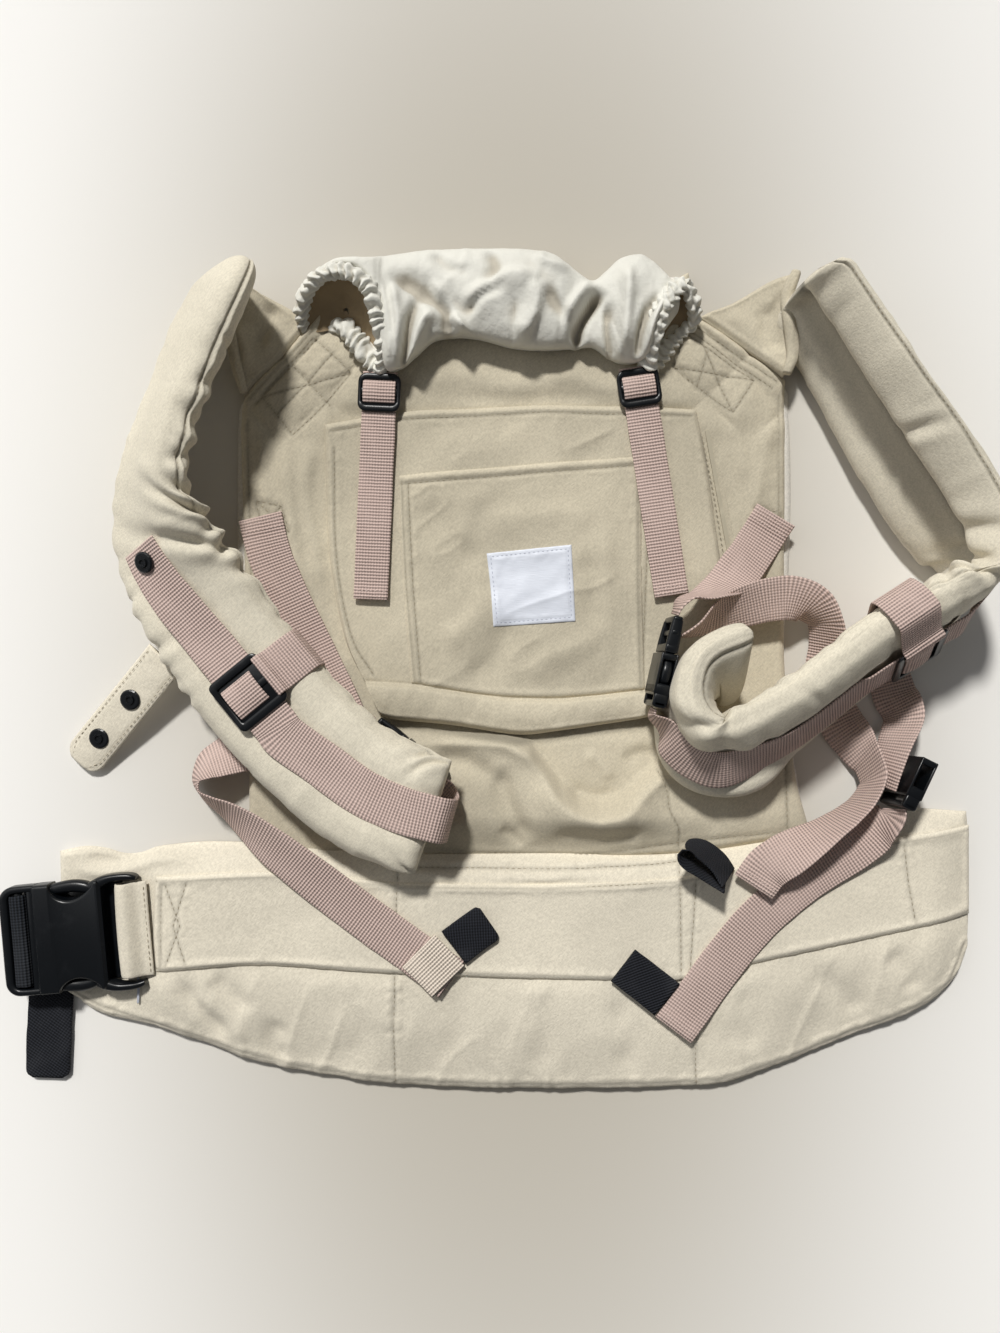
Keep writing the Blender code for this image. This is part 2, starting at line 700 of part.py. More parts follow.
def strip_on_pad(name, route, face, marks, shift, ending, slider_at):
    """Webbing sewn along a pad; marks are (place, lift), then it leaves along the ending.

    It runs straight through its slider, and the ending's rows are (point, side)."""
    middles, sides = [], []
    centre, side, up, heading = on_pad(route, slider_at, math.copysign(BRIDGE, face),
                                       between(slider_at, shift))
    straight = [(centre + heading * SLIDER_L * d, side) for d in (-1.0, -0.7, -0.35, 0, 0.35, 0.7, 1.0)]
    for at, lift in marks:
        if at > slider_at and straight:
            middles += [row[0] for row in straight]
            sides += [row[1] for row in straight]
            straight = []
        m, a, u, run = on_pad(route, at, face * lift, between(at, shift))
        middles.append(m)
        sides.append(a)
    for point, side in ending:
        middles.append(np.array(point, float))
        sides.append(np.array(side, float))
    strap_round(name, middles, np.array(sides), STRAP_W, webbing(), steps=3)


def web_slider(name, place, web_w, length, bar, bar_t, rail, origin):
    """Frame of two upper bars and one lower middle bar, with webbing between them."""
    gap = WEB_T / 2 + RUN / 2
    inner = web_w / 2 + RUN
    half = length / 2
    xs = (-half, -half + bar, -bar / 2, bar / 2, half - bar, half)
    ys = (-inner - rail, -inner, inner, inner + rail)
    zs = (-gap - bar_t, -gap, gap, gap + bar_t)

    def full(i, j, k):
        if j != 1:
            return True
        if i in (0, 4):
            return k == 2
        return i == 2 and k == 0

    cells(name, xs, ys, zs, full, plastic(), place, 0.7, origin=origin)


def chest_slider(side, route, at, face, shift):
    m, a, u, run = on_pad(route, at, face * BRIDGE, between(at, shift))
    place = placer(m, run, u * face)
    web_slider("chest_slider_" + side, place, STRAP_W, SLIDER_L, SLIDER_BAR, SLIDER_BAR_T,
               SLIDER_RAIL, tuple(m))
    return m, a, u, run


# ---------------------------------------------------------------------------
# side release buckles
# ---------------------------------------------------------------------------
def release_socket(name, place):
    """Socket half: opening at local x 0, strap bar at the far end."""
    w, t = SIDE_BUCKLE_W / 2, SIDE_BUCKLE_T / 2
    n = SIDE_FEMALE_L
    xs = (0, 6.0, 18.0, SIDE_PRONG_L + 1.5, n - 10.0, n - 4.5, n)
    ys = (-w, -w + 4.0, w - 4.0, w)
    zs = (-t, -t + 2.0, t - 2.0, t)

    def full(i, j, k):
        if i == 4:
            return j != 1
        if i < 3:
            if j == 1:
                return k != 1
            return not (i == 1 and k == 1)
        return True

    return cells(name, xs, ys, zs, full, plastic(), place, 0.6, origin=place(0, 0, 0))


def release_prongs(name, place):
    """Prong half: prongs along +x from local x 0, ladder slots on the -x side."""
    w, t = SIDE_BUCKLE_W / 2, SIDE_BUCKLE_T / 2
    m = SIDE_MALE_L
    xs = (-m, -m + 4.0, -m + 9.5, -m + 13.5, -m + 19.0, -0.4, SIDE_PRONG_L)
    ys = (-w + 0.5, -w + 4.5, -w + 9.5, -3.0, 3.0, w - 9.5, w - 4.5, w - 0.5)
    zs = (-t + 2.0 + RUN, t - 2.0 - RUN)

    def full(i, j, k):
        if i == 5:
            return j in (1, 3, 5)
        if i in (1, 3):
            return j in (0, 6)
        return True

    return cells(name, xs, ys, zs, full, plastic(), place, 0.6, origin=place(0, 0, 0))


# ---------------------------------------------------------------------------
# left shoulder: strip, slider, wrap, side strap, buckle and tail
# ---------------------------------------------------------------------------
LEFT_STRIP_SHIFT = ((5.0, -8.0), (11.0, 2.0))   # off the pad's middle, by place along it
LEFT_SLIDER_AT = 7.35            # place along the pad's control rows
RIGHT_SLIDER_AT = 5.75
RIGHT_STRIP_SHIFT = ((4.0, -4.0), (9.0, -4.0))
LEFT_BUCKLE = placer((-90.0, -68.0, 18.4), (0.76, -0.65, 0.0), (0, 0, 1))
RIGHT_BUCKLE = placer((105.0, 9.0, 46.0), (-0.22, -0.975, 0.0), (-0.975, 0.22, 0.0))
CHEST_BUCKLE = placer((288.0, -66.0, 30.0), (-0.44, -0.89, 0.05), (-0.9, 0.44, 0.0))


def left_strip():
    marks = ((4.9, 1.12), (5.3, 1.12), (5.8, 1.16), (8.7, 1.06), (9.4, 1.0), (10.2, 1.0), (10.9, 1.0))
    end, a, u, run = on_pad(PAD_LEFT, 11.0, FACE, between(11.0, LEFT_STRIP_SHIFT))
    side = (0.65, 0.76, 0.0)
    ending = [(end + run * 8.0 - u * 3.0, a), (end + run * 12.5 - u * 14.0, a),
              (end + run * 10.5 - u * 27.0, a), (LEFT_BUCKLE(SIDE_FEMALE_L + 8.0, 0, 2.0), side),
              (LEFT_BUCKLE(SIDE_FEMALE_L + 3.0, 0, 0.3), side),
              (LEFT_BUCKLE(SIDE_FEMALE_L + GAP, 0, 0), side)]
    strip_on_pad("shoulder_strip_left", PAD_LEFT, FACE, marks, LEFT_STRIP_SHIFT, ending,
                 LEFT_SLIDER_AT)


def chest_wrap(name, route, at, face, shift, turn_side, reach, origin):
    """Chest webbing from the slider's bar over the pad's edge to the back of the pad."""
    m, a, u, run = on_pad(route, at, 0.0)
    a, lead = a * turn_side, PAD_W / 2
    u = u * face
    t = PAD_T / 2
    off = GAP + 0.5 + WEB_T / 2
    start = between(at, shift) * turn_side + STRAP_W / 2 + SLIDER_RAIL + RUN + GAP + 0.3
    rows = [a * start + u * (t + off + 3.0), a * (start + 7.0) + u * (t + off + 1.0)]
    for angle in (55, 30, 0, -30, -60):
        c, s = math.cos(math.radians(angle)), math.sin(math.radians(angle))
        rows.append(a * (lead - 8.0 + (8.0 + off + 0.5) * c) + u * (t + off) * s)
    rows.append(a * (lead - 14.0) - u * (t + off + 0.3))
    rows.append(a * (lead - 14.0 - reach) - u * (t + off + 0.3))
    strap_round(name, [m + row for row in rows], run, STRAP_W, webbing(), origin=origin)


def side_strap(name, route):
    ribbon(name, route, STRAP_W, webbing(), steps=5)


def keeper(name, route, origin=(0, 0, 0)):
    ribbon(name, route, KEEPER_W, elastic(), thick=2 * KEEPER_T, steps=3, origin=origin)


def snap(name, middle, up, origin=None):
    """A press stud: a stepped round button with a dimple."""
    up = unit(np.array(up, float))
    level = np.array((1.0, 0, 0) if abs(up[0]) < 0.8 else (0, 1.0, 0))
    place = placer(middle, level - up * level.dot(up), up)
    r = SNAP_D / 2
    profile = ((r, 0.0), (r, 1.2), (r * 0.86, 1.8), (r * 0.5, 1.8), (r * 0.45, SNAP_T),
               (r * 0.3, SNAP_T), (r * 0.2, SNAP_T - 1.0))
    rings = []
    for radius, height in profile:
        rings.append([np.array(place(radius * math.cos(a), radius * math.sin(a), height))
                      for a in (2 * math.pi * k / 20 for k in range(20))])
    loft(name, rings, plastic(), origin=tuple(origin if origin is not None else middle))


TAB_ROOT = (-252.7, 6.4, 22.9)
TAB_ALONG = (-0.654, -0.733, -0.185)


def snap_tab():
    """Canvas tab with two snaps, hinged where it leaves the pad."""
    place = placer(TAB_ROOT, TAB_ALONG, (0, 0, 1))
    root = place(0, 0, 0)
    cells("snap_tab", (0.0, TAB_L), (-TAB_W / 2, TAB_W / 2), (0, TAB_T),
          lambda i, j, k: True, canvas(), place, 0.5, origin=root)
    up = np.array(place(0, 0, 1)) - np.array(root)
    for name, out in (("tab_snap_inner", 41.0), ("tab_snap_outer", 80.0)):
        snap(name, place(out, 0, TAB_T + GAP), up, root)


# ---------------------------------------------------------------------------
# right shoulder: strip, wrap, side strap, buckles, chest strap and tails
# ---------------------------------------------------------------------------
def right_strip():
    marks = ((4.2, 1.05), (4.5, 1.1), (6.8, 1.0), (7.6, 1.0), (8.3, 1.1), (8.9, 1.3))
    up = (0.0, 0.1, 1.0)
    socket = [RIGHT_BUCKLE(SIDE_FEMALE_L + x, 0, 0) for x in (9.0, 1.0)]
    ending = [((129, -80, 43), (0.0, 0.72, 0.7)), ((107, -71, 45), (-0.2, 0.5, 0.85)),
              (socket[0], up), (socket[1], up)]
    strip_on_pad("shoulder_strip_right", PAD_RIGHT, -FACE, marks, RIGHT_STRIP_SHIFT, ending,
                 RIGHT_SLIDER_AT)


def right_webbing():
    side_strap("side_strap_right", [(191, 111, 7.0, 0), (180, 93, 9.5, 0), (167, 75, 14, 4),
                                    (152, 60, 25, 38), (135, 51, 38, 70),
                                    (*RIGHT_BUCKLE(-SIDE_MALE_L - 13.0, 0, -4.0), 84),
                                    (*RIGHT_BUCKLE(-SIDE_MALE_L - 5 * GAP, 0, 0), 90)])
    face = -(SIDE_BUCKLE_T / 2 - 2.0 - RUN) - 2 * GAP
    side_strap("side_tail_right", [(*RIGHT_BUCKLE(-12.0, 0, face), 88), (124, 24, 44, 85),
                                   (140, 31, 38, 72), (168, 45, 33, 62), (194, 49, 31, 60),
                                   (215, 37, 27, 58), (226, 13, 14, 30), (232, -14, 3.0, 2),
                                   (240, -38, 2.6, 0), (251, -58, 11, 38), (258, -78, 24, 76),
                                   (246, -98, 31, 80), (221, -117, 34, 68), (193, -137, 33, 35),
                                   (157, -158, 28.5, 6)])
    side_strap("chest_strap_right", [(265, 27, 5.8, 0), (271, 10, 4.8, 0), (277, -6, 3.6, 0),
                                     (281, -20, 4.0, 5), (284, -36, 14, 50), (275, -54, 22, 66),
                                     (268, -70, 24, 66), (263, -86, 23, 66)])
    side_strap("chest_tail_right", [(*CHEST_BUCKLE(SIDE_FEMALE_L + 5 * GAP, 0, 0), 88),
                                    (*CHEST_BUCKLE(SIDE_FEMALE_L + 10.0, 0, 0.5), 70),
                                    (259, -117, 27, 40), (243, -131, 24.8, 10), (205, -157, 24, 0),
                                    (166, -193, 23.5, 0), (114, -262, 23.5, 0)])
    release_socket("chest_buckle_socket_right", CHEST_BUCKLE)


def right_keepers():
    side = (0.55, -0.83, 0.0)
    loop = [(143.5, -151.5, 30.4), (126, -142, 33.5), (112, -133, 33), (106, -129, 29),
            (112, -132, 25.2), (128, -141, 24.6), (143, -151, 25.0)]
    strap_round("keeper_right_side", loop, side, KEEPER_W, elastic(), thick=KEEPER_T, steps=3)
    keeper("keeper_right_chest", [(109, -239.8, 24.6, 0), (94, -228, 24.6, 0), (77.6, -215.4, 24.6, 0)])


# ---------------------------------------------------------------------------
# hood
# ---------------------------------------------------------------------------
HOOD_BOTTOM = PANEL_TOP + GAP + 0.2
HOOD_STRAP_Z = 15.9
HOOD_COLUMNS = (          # x, far edge y, near edge y, height
    (-157, 272, 250, 23), (-142, 289, 240, 31), (-118, 298, 226, 38), (-108, 300, 215, 36),
    (-80, 304, 215, 34), (-52, 304, 235, 32), (-15, 304, 232, 36), (20, 303, 230, 38),
    (40, 292, 232, 30), (56, 286, 233, 28), (72, 298, 220, 36), (104, 294, 220, 38),
    (118, 280, 236, 34), (128, 267, 247, 24))
HOOD_CLOTH_T = 2.0
HOOD_MOUTH_RINGS = 5
HINGE_Y = 300.0
HOOD_LEFT_STRAP = ((-98.4, 214.8), (-105.5, 49.0))
HOOD_RIGHT_STRAP = ((87.8, 218.4), (114.0, 52.0))


def hood_ring(column, shrink):
    x, far, near, height = column
    far, near, height = far - shrink, near + shrink, height - shrink
    low = HOOD_BOTTOM + shrink
    ring = [np.array((x, near + (far - near) * k / 3, low)) for k in range(4)]
    for k in range(7):
        angle = math.pi * (k + 0.6) / 7.2
        y = (far + near) / 2 + (far - near) / 2 * math.cos(angle)
        ring.append(np.array((x, y, low + (height - low + HOOD_BOTTOM) * math.sin(angle) ** 0.7)))
    return ring


def hood():
    outer = [hood_ring(column, 0.0) for column in HOOD_COLUMNS]
    inner = [hood_ring(column, HOOD_CLOTH_T) for column in HOOD_COLUMNS[:HOOD_MOUTH_RINGS]]
    loft("hood", outer, material("hood_cloth", HOOD_CLOTH, 0.9), hollow=inner,
         origin=(0, HINGE_Y, HOOD_BOTTOM))


def hood_strap(side, ends):
    (x0, y0), (x1, y1) = ends
    start, end = np.array((x0, y0, HOOD_STRAP_Z)), np.array((x1, y1, HOOD_STRAP_Z))
    ribbon("hood_strap_" + side, [(*start, 0), (*((start + end) / 2), 0), (*end, 0)],
           HOOD_STRAP_W, webbing(), steps=2, origin=(0, HINGE_Y, HOOD_BOTTOM))
    along = unit(end - start)
    middle = start + along * (GLIDE_L / 2 + 1.0)
    web_slider("tri_glide_" + side, placer(middle, along, (0, 0, 1)), HOOD_STRAP_W, GLIDE_L,
               GLIDE_BAR, GLIDE_BAR_T, GLIDE_RAIL, tuple(middle))


def clear_scene():
    for item in list(bpy.data.objects):
        bpy.data.objects.remove(item, do_unlink=True)


def main():
    clear_scene()
    body_panel()
    lining()
    wings()
    zip_pocket()
    slip_pocket()
    label()
    zip_fastener()
    belt()
    band()
    waist_buckle()
    waist_webbing()
    pad("shoulder_pad_left", PAD_LEFT)
    pad("shoulder_pad_right", PAD_RIGHT)
    left_strip()
    m, a, u, run = chest_slider("left", PAD_LEFT, LEFT_SLIDER_AT, 1, LEFT_STRIP_SHIFT)
    chest_wrap("chest_wrap_left", PAD_LEFT, LEFT_SLIDER_AT, 1, LEFT_STRIP_SHIFT, 1, 10.0, tuple(m))
    release_socket("side_buckle_socket_left", LEFT_BUCKLE)
    release_prongs("side_buckle_prongs_left", LEFT_BUCKLE)
    side_strap("side_strap_left", [(-187, 110, 6.9, 0), (-179, 79, 7.2, 0), (-163, 42, 7.6, 0),
                                   (-147, 8, 9, 0), (-131, -24, 14, 0),
                                   (*LEFT_BUCKLE(-SIDE_MALE_L - 17.0, 0, -2.0), 0),
                                   (*LEFT_BUCKLE(-SIDE_MALE_L - 4 * GAP, 0, 0), 0)])
    side_strap("side_tail_left", [(-119, -62, 13.9, 0), (-142, -63, 10, 0), (-170, -60, 11, 4),
                                  (-202, -62, 14, 18), (-229, -76, 18, 55), (-228, -93, 20, 72),
                                  (-205, -107, 24, 50), (-170, -132, 31, 20), (-112, -178, 25, 3),
                                  (-46, -226, 23.3, 0)])
    keeper("keeper_left", [(-44.4, -202.4, 24.6, 0), (-32, -193, 24.6, 0), (-19, -184, 24.6, 0)])
    snap_tab()
    m, a, u, run = on_pad(PAD_LEFT, SNAP_AT, FACE * 1.12 + WEB_T / 2 + 4 * GAP,
                          between(SNAP_AT, LEFT_STRIP_SHIFT))
    snap("pad_snap_left", m, u)
    right_strip()
    m, a, u, run = chest_slider("right", PAD_RIGHT, RIGHT_SLIDER_AT, -1, RIGHT_STRIP_SHIFT)
    chest_wrap("chest_wrap_right", PAD_RIGHT, RIGHT_SLIDER_AT, -1, RIGHT_STRIP_SHIFT, 1, 66.0,
               tuple(m))
    release_socket("side_buckle_socket_right", RIGHT_BUCKLE)
    release_prongs("side_buckle_prongs_right", RIGHT_BUCKLE)
    right_webbing()
    right_keepers()
    hood()
    hood_strap("left", HOOD_LEFT_STRAP)
    hood_strap("right", HOOD_RIGHT_STRAP)


main()
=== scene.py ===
"""Soft baby carrier laid out flat: fabric, webbing, padding and hardware over the fixed frame.

Lengths are in millimetres until a mesh is made. +X runs along the waist belt, +Y towards
the hood, +Z up off the floor.
"""
import math

import bmesh
import bpy
import numpy as np
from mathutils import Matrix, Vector


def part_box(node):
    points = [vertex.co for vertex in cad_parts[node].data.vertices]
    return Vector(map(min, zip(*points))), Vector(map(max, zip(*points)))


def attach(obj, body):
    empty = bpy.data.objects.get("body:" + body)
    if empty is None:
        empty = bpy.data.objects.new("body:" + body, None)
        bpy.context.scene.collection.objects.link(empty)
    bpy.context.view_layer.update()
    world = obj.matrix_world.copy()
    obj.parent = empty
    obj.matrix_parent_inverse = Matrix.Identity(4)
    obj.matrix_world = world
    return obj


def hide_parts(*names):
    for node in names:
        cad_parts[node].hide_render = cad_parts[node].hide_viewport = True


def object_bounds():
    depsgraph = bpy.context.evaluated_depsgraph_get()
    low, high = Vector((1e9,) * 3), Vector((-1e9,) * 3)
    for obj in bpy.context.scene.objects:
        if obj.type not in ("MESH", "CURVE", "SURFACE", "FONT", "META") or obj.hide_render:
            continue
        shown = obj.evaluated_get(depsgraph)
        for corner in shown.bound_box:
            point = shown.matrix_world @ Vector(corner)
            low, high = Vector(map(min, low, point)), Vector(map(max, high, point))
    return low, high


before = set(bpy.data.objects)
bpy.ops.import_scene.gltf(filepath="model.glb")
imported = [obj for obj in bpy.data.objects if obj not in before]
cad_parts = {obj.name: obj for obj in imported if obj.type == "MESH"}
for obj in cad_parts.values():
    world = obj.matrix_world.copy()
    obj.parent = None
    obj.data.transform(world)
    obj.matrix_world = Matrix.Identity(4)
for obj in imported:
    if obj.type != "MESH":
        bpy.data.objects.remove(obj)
solid_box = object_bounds()
MM = 0.001
ROOT = "carrier"


# ---------------------------------------------------------------------------
# numbers and curves
# ---------------------------------------------------------------------------
def between(value, table):
    """Straight-line reading of a table of (key, value) rows, for one number or an array."""
    return np.interp(value, [row[0] for row in table], [row[1] for row in table])


def smooth(low, high, value):
    """0 below low, 1 above high, an S-curve between."""
    t = np.clip((value - low) / (high - low), 0.0, 1.0)
    return t * t * (3 - 2 * t)


def running(points):
    """How far along a line of points each one is, from 0 at the first."""
    return np.r_[0, np.cumsum(np.linalg.norm(np.diff(points, axis=0), axis=1))]


def spline(rows, steps, closed=False):
    """Smooth curve through rows, with the same number of steps between every two of them."""
    rows = np.array(rows, float)
    if closed:
        ends = np.vstack([rows[-1], rows, rows[0], rows[1]])
    else:
        ends = np.vstack([2 * rows[0] - rows[1], rows, 2 * rows[-1] - rows[-2]])
    t = (np.arange(steps) / steps)[:, None]
    fine = [0.5 * (2 * p1 + (p2 - p0) * t + (2 * p0 - 5 * p1 + 4 * p2 - p3) * t * t
                   + (3 * p1 - p0 - 3 * p2 + p3) * t ** 3)
            for p0, p1, p2, p3 in zip(ends, ends[1:], ends[2:], ends[3:])]
    return np.vstack(fine + [ends[-2]])


def curve(rows, count, closed=False):
    """Points evenly spaced along a smooth curve through rows; extra columns go along."""
    fine = spline(rows, 24, closed)
    run = running(fine[:, :3])
    at = np.linspace(0, run[-1], count + 1)[:-1] if closed else np.linspace(0, run[-1], count)
    return np.stack([np.interp(at, run, column) for column in fine.T], axis=1)


def length_of(points):
    return float(np.linalg.norm(np.diff(points, axis=0), axis=1).sum())


def lattice_noise(x, y, seed):
    """Smooth noise from -1 to 1 on a unit lattice."""
    x, y = np.asarray(x, float), np.asarray(y, float)
    i, j = np.floor(x).astype(np.int64), np.floor(y).astype(np.int64)
    u, v = x - i, y - j
    u, v = u * u * u * (u * (6 * u - 15) + 10), v * v * v * (v * (6 * v - 15) + 10)

    def knot(a, b):
        mixed = (a * 374761393 + b * 668265263 + seed * 974634777) & 0x7FFFFFFF
        mixed = ((mixed ^ (mixed >> 13)) * 1274126177) & 0x7FFFFFFF
        return ((mixed ^ (mixed >> 16)) & 0xFFFF) / 32767.5 - 1.0

    low = knot(i, j) * (1 - u) + knot(i + 1, j) * u
    high = knot(i, j + 1) * (1 - u) + knot(i + 1, j + 1) * u
    return low * (1 - v) + high * v


def rumple(x, y, size, seed, turn=0.0, stretch=1.0, layers=3):
    """Cloth unevenness: lumps of a size, drawn out along a direction given in degrees."""
    c, s = math.cos(math.radians(turn)), math.sin(math.radians(turn))
    along, across = (x * c + y * s) / stretch, y * c - x * s
    total = 0.0
    for k in range(layers):
        scale = 2.0 ** k / size
        total = total + lattice_noise(along * scale + 13.7 * k, across * scale - 7.1 * k,
                                      seed + k) / 1.9 ** k
    return total


def pull(x, y, size, seed, turn=0.0, stretch=1.0):
    """Sharp crease lines, 0 to 1, drawn out along a direction."""
    return (1.0 - np.abs(rumple(x, y, size, seed, turn, stretch, 2))) ** 3


def near_path(x, y, path):
    """Distance to a smooth path, signed to its left, and the place along it from 0 to 1."""
    count = 24
    line = curve(path, count)
    best = np.full(np.shape(x), 1e9)
    side = np.ones(np.shape(x))
    place = np.zeros(np.shape(x))
    for k in range(count - 1):
        (ax, ay), (bx, by) = line[k, :2], line[k + 1, :2]
        dx, dy = bx - ax, by - ay
        t = np.clip(((x - ax) * dx + (y - ay) * dy) / (dx * dx + dy * dy), 0, 1)
        far = np.hypot(x - ax - dx * t, y - ay - dy * t)
        near = far < best
        best = np.where(near, far, best)
        side = np.where(near, np.sign(dx * (y - ay) - dy * (x - ax)), side)
        place = np.where(near, (k + t) / (count - 1), place)
    return best * side, place


def fold(x, y, path, height, left, right=None):
    """A ridge (or with a minus a groove) along a path, its two sides of different widths."""
    far, place = near_path(x, y, path)
    width = np.where(far > 0, left, left if right is None else right)
    fade = 0.25
    ends = smooth(0, fade, place) * smooth(0, fade, 1 - place)
    return height * np.exp(-(far / width) ** 2) * ends


def folds(x, y, rows):
    """Several folds at once, each a row of path, height and one or two widths."""
    return sum(fold(x, y, *row) for row in rows)


def unit(v):
    return v / np.maximum(np.linalg.norm(v, axis=-1, keepdims=True), 1e-9)


def frames(path, rolls):
    """Tangent, across and up at each point of a path; roll 0 lies flat, 90 on edge."""
    tangent = unit(np.gradient(path, axis=0))
    level = unit(np.cross((0.0, 0.0, 1.0), tangent))
    rise = np.cross(tangent, level)
    c = np.cos(np.radians(rolls))[:, None]
    s = np.sin(np.radians(rolls))[:, None]
    return tangent, level * c + rise * s, rise * c - level * s


# ---------------------------------------------------------------------------
# meshes
# ---------------------------------------------------------------------------
SEAM_DEPTH = 0.42      # how far a sewn line sinks into the cloth


def piece(name, points, faces, look, uv=None, body=ROOT, stands_for=(), flat=False, crisp=None,
          marks=None):
    """A piece of the object from points in millimetres; it rides on a body of the frame.

    marks, one number a point, paints shade where the finish darkens: along sewn lines, in creases,
    hollows and gaps; below zero it paints worn edges paler."""
    mesh = bpy.data.meshes.new(name)
    mesh.from_pydata((np.asarray(points, float) * MM).tolist(), [], faces)
    mesh.validate()
    if uv is not None:
        layer = mesh.uv_layers.new(name="cloth")
        corner = np.empty(len(mesh.loops), np.int64)
        mesh.loops.foreach_get("vertex_index", corner)
        layer.data.foreach_set("uv", (np.asarray(uv, float)[corner] * MM).ravel())
    # the marks become the seam attribute: painted shade, and below zero paler worn edges
    if marks is not None:
        layer = mesh.attributes.new("seam", "FLOAT", "POINT")
        layer.data.foreach_set("value", np.asarray(marks, float).ravel())
    mesh.materials.append(look)
    if not flat:
        mesh.shade_smooth()
        if crisp:
            mesh.set_sharp_from_angle(angle=math.radians(crisp))
    made = bpy.data.objects.new(name, mesh)
    bpy.context.scene.collection.objects.link(made)
    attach(made, body)
    if stands_for:
        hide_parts(*stands_for)
    return made


def grid_faces(rows, columns, first=0, wrap=False, turn=False):
    """Quads of a grid of points; wrap joins the last column to the first."""
    faces = []
    for r in range(rows - 1):
        for c in range(columns if wrap else columns - 1):
            d = (c + 1) % columns
            a = first + r * columns
            quad = (a + c, a + d, a + columns + d, a + columns + c)
            faces.append(quad[::-1] if turn else quad)
    return faces


def border_faces(rows, columns):
    """Quads from the border of a grid to that of a second grid, numbered after the first."""
    ring = ([(0, c) for c in range(columns)] + [(r, columns - 1) for r in range(1, rows)]
            + [(rows - 1, c) for c in range(columns - 2, -1, -1)]
            + [(r, 0) for r in range(rows - 2, 0, -1)])
    ids = [r * columns + c for r, c in ring]
    n = rows * columns
    return [(a, n + a, n + b, b) for a, b in zip(ids, ids[1:] + ids[:1])]


def patch(bottom, right, top, left, across, up):
    """Grid of x and y filling four border curves; bottom and top run left to right."""
    low, high = curve(bottom, across)[:, :2], curve(top, across)[:, :2]
    west, east = curve(left, up)[:, :2], curve(right, up)[:, :2]
    s, t = np.linspace(0, 1, across)[None, :, None], np.linspace(0, 1, up)[:, None, None]
    grid = (low[None] * (1 - t) + high[None] * t + west[:, None] * (1 - s) + east[:, None] * s
            - (low[0] * (1 - s) * (1 - t) + low[-1] * s * (1 - t)
               + high[0] * (1 - s) * t + high[-1] * s * t))
    return grid[:, :, 0], grid[:, :, 1]


def rim_distance(x, y):
    """Distance of each grid point to the nearest border of its grid, measured along the grid."""
    run = np.hypot(np.diff(x, axis=1), np.diff(y, axis=1))
    along = np.concatenate([np.zeros((x.shape[0], 1)), np.cumsum(run, axis=1)], axis=1)
    rise = np.hypot(np.diff(x, axis=0), np.diff(y, axis=0))
    climb = np.concatenate([np.zeros((1, x.shape[1])), np.cumsum(rise, axis=0)], axis=0)
    return np.minimum(np.minimum(along, along[:, -1:] - along),
                      np.minimum(climb, climb[-1:] - climb))


def near_lines(x, y, lines):
    """Distance of each point to the nearest of several polylines, and the run along it."""
    best, place = np.full(x.shape, 1e9), np.zeros(x.shape)
    for line in lines:
        run = 0.0
        for (ax, ay), (bx, by) in zip(line[:-1], line[1:]):
            dx, dy = bx - ax, by - ay
            long = math.hypot(dx, dy)
            t = np.clip(((x - ax) * dx + (y - ay) * dy) / (long * long), 0, 1)
            far = np.hypot(x - ax - dx * t, y - ay - dy * t)
            near = far < best
            best = np.where(near, far, best)
            place = np.where(near, run + t * long, place)
            run += long
    return best, place


def cloth(name, x, y, top, under, look, round_off=1.6, drop=1.2, seams=(), pucker=0.35, hem=0.6,
          shade=0.0, **others):
    """Closed cloth from a grid: a top surface whose border rolls down, and an underside.

    Sewn lines sink into it, with small puckers on both sides; its turned hem stands up.
    shade deepens the colour of hollows that other pieces close over."""
    rows, columns = x.shape
    rim = rim_distance(x, y)
    top = top + hem * np.exp(-((rim - 3.4) / 2.2) ** 2) - drop * np.exp(-(rim / round_off) ** 2)
    marks = np.zeros(x.shape)
    if seams:
        far, place = near_lines(x, y, seams)
        # painted shade along the sewn lines; below zero, paler worn edges along the border
        marks = 1.15 * np.exp(-(far / 1.1) ** 2) - 0.4 * np.exp(-(rim / 1.8) ** 2)
        top = top - SEAM_DEPTH * np.exp(-(far / 1.4) ** 2)
        top = top + pucker * (0.6 + lattice_noise(place / 4.2, far / 6.0, 77)) * np.exp(
            -((far - 3.2) / 2.4) ** 2)
    marks = marks + shade
    marks = np.concatenate([marks.ravel(), marks.ravel() * 0])
    under = np.minimum(np.broadcast_to(under, x.shape), top - 0.3)
    points = np.concatenate([np.stack([x, y, top], 2).reshape(-1, 3),
                             np.stack([x, y, under], 2).reshape(-1, 3)])
    faces = (grid_faces(rows, columns) + grid_faces(rows, columns, rows * columns, turn=True)
             + border_faces(rows, columns))
    uv = np.concatenate([np.stack([x, y], 2).reshape(-1, 2)] * 2)
    return piece(name, points, faces, look, uv, marks=marks, **others)


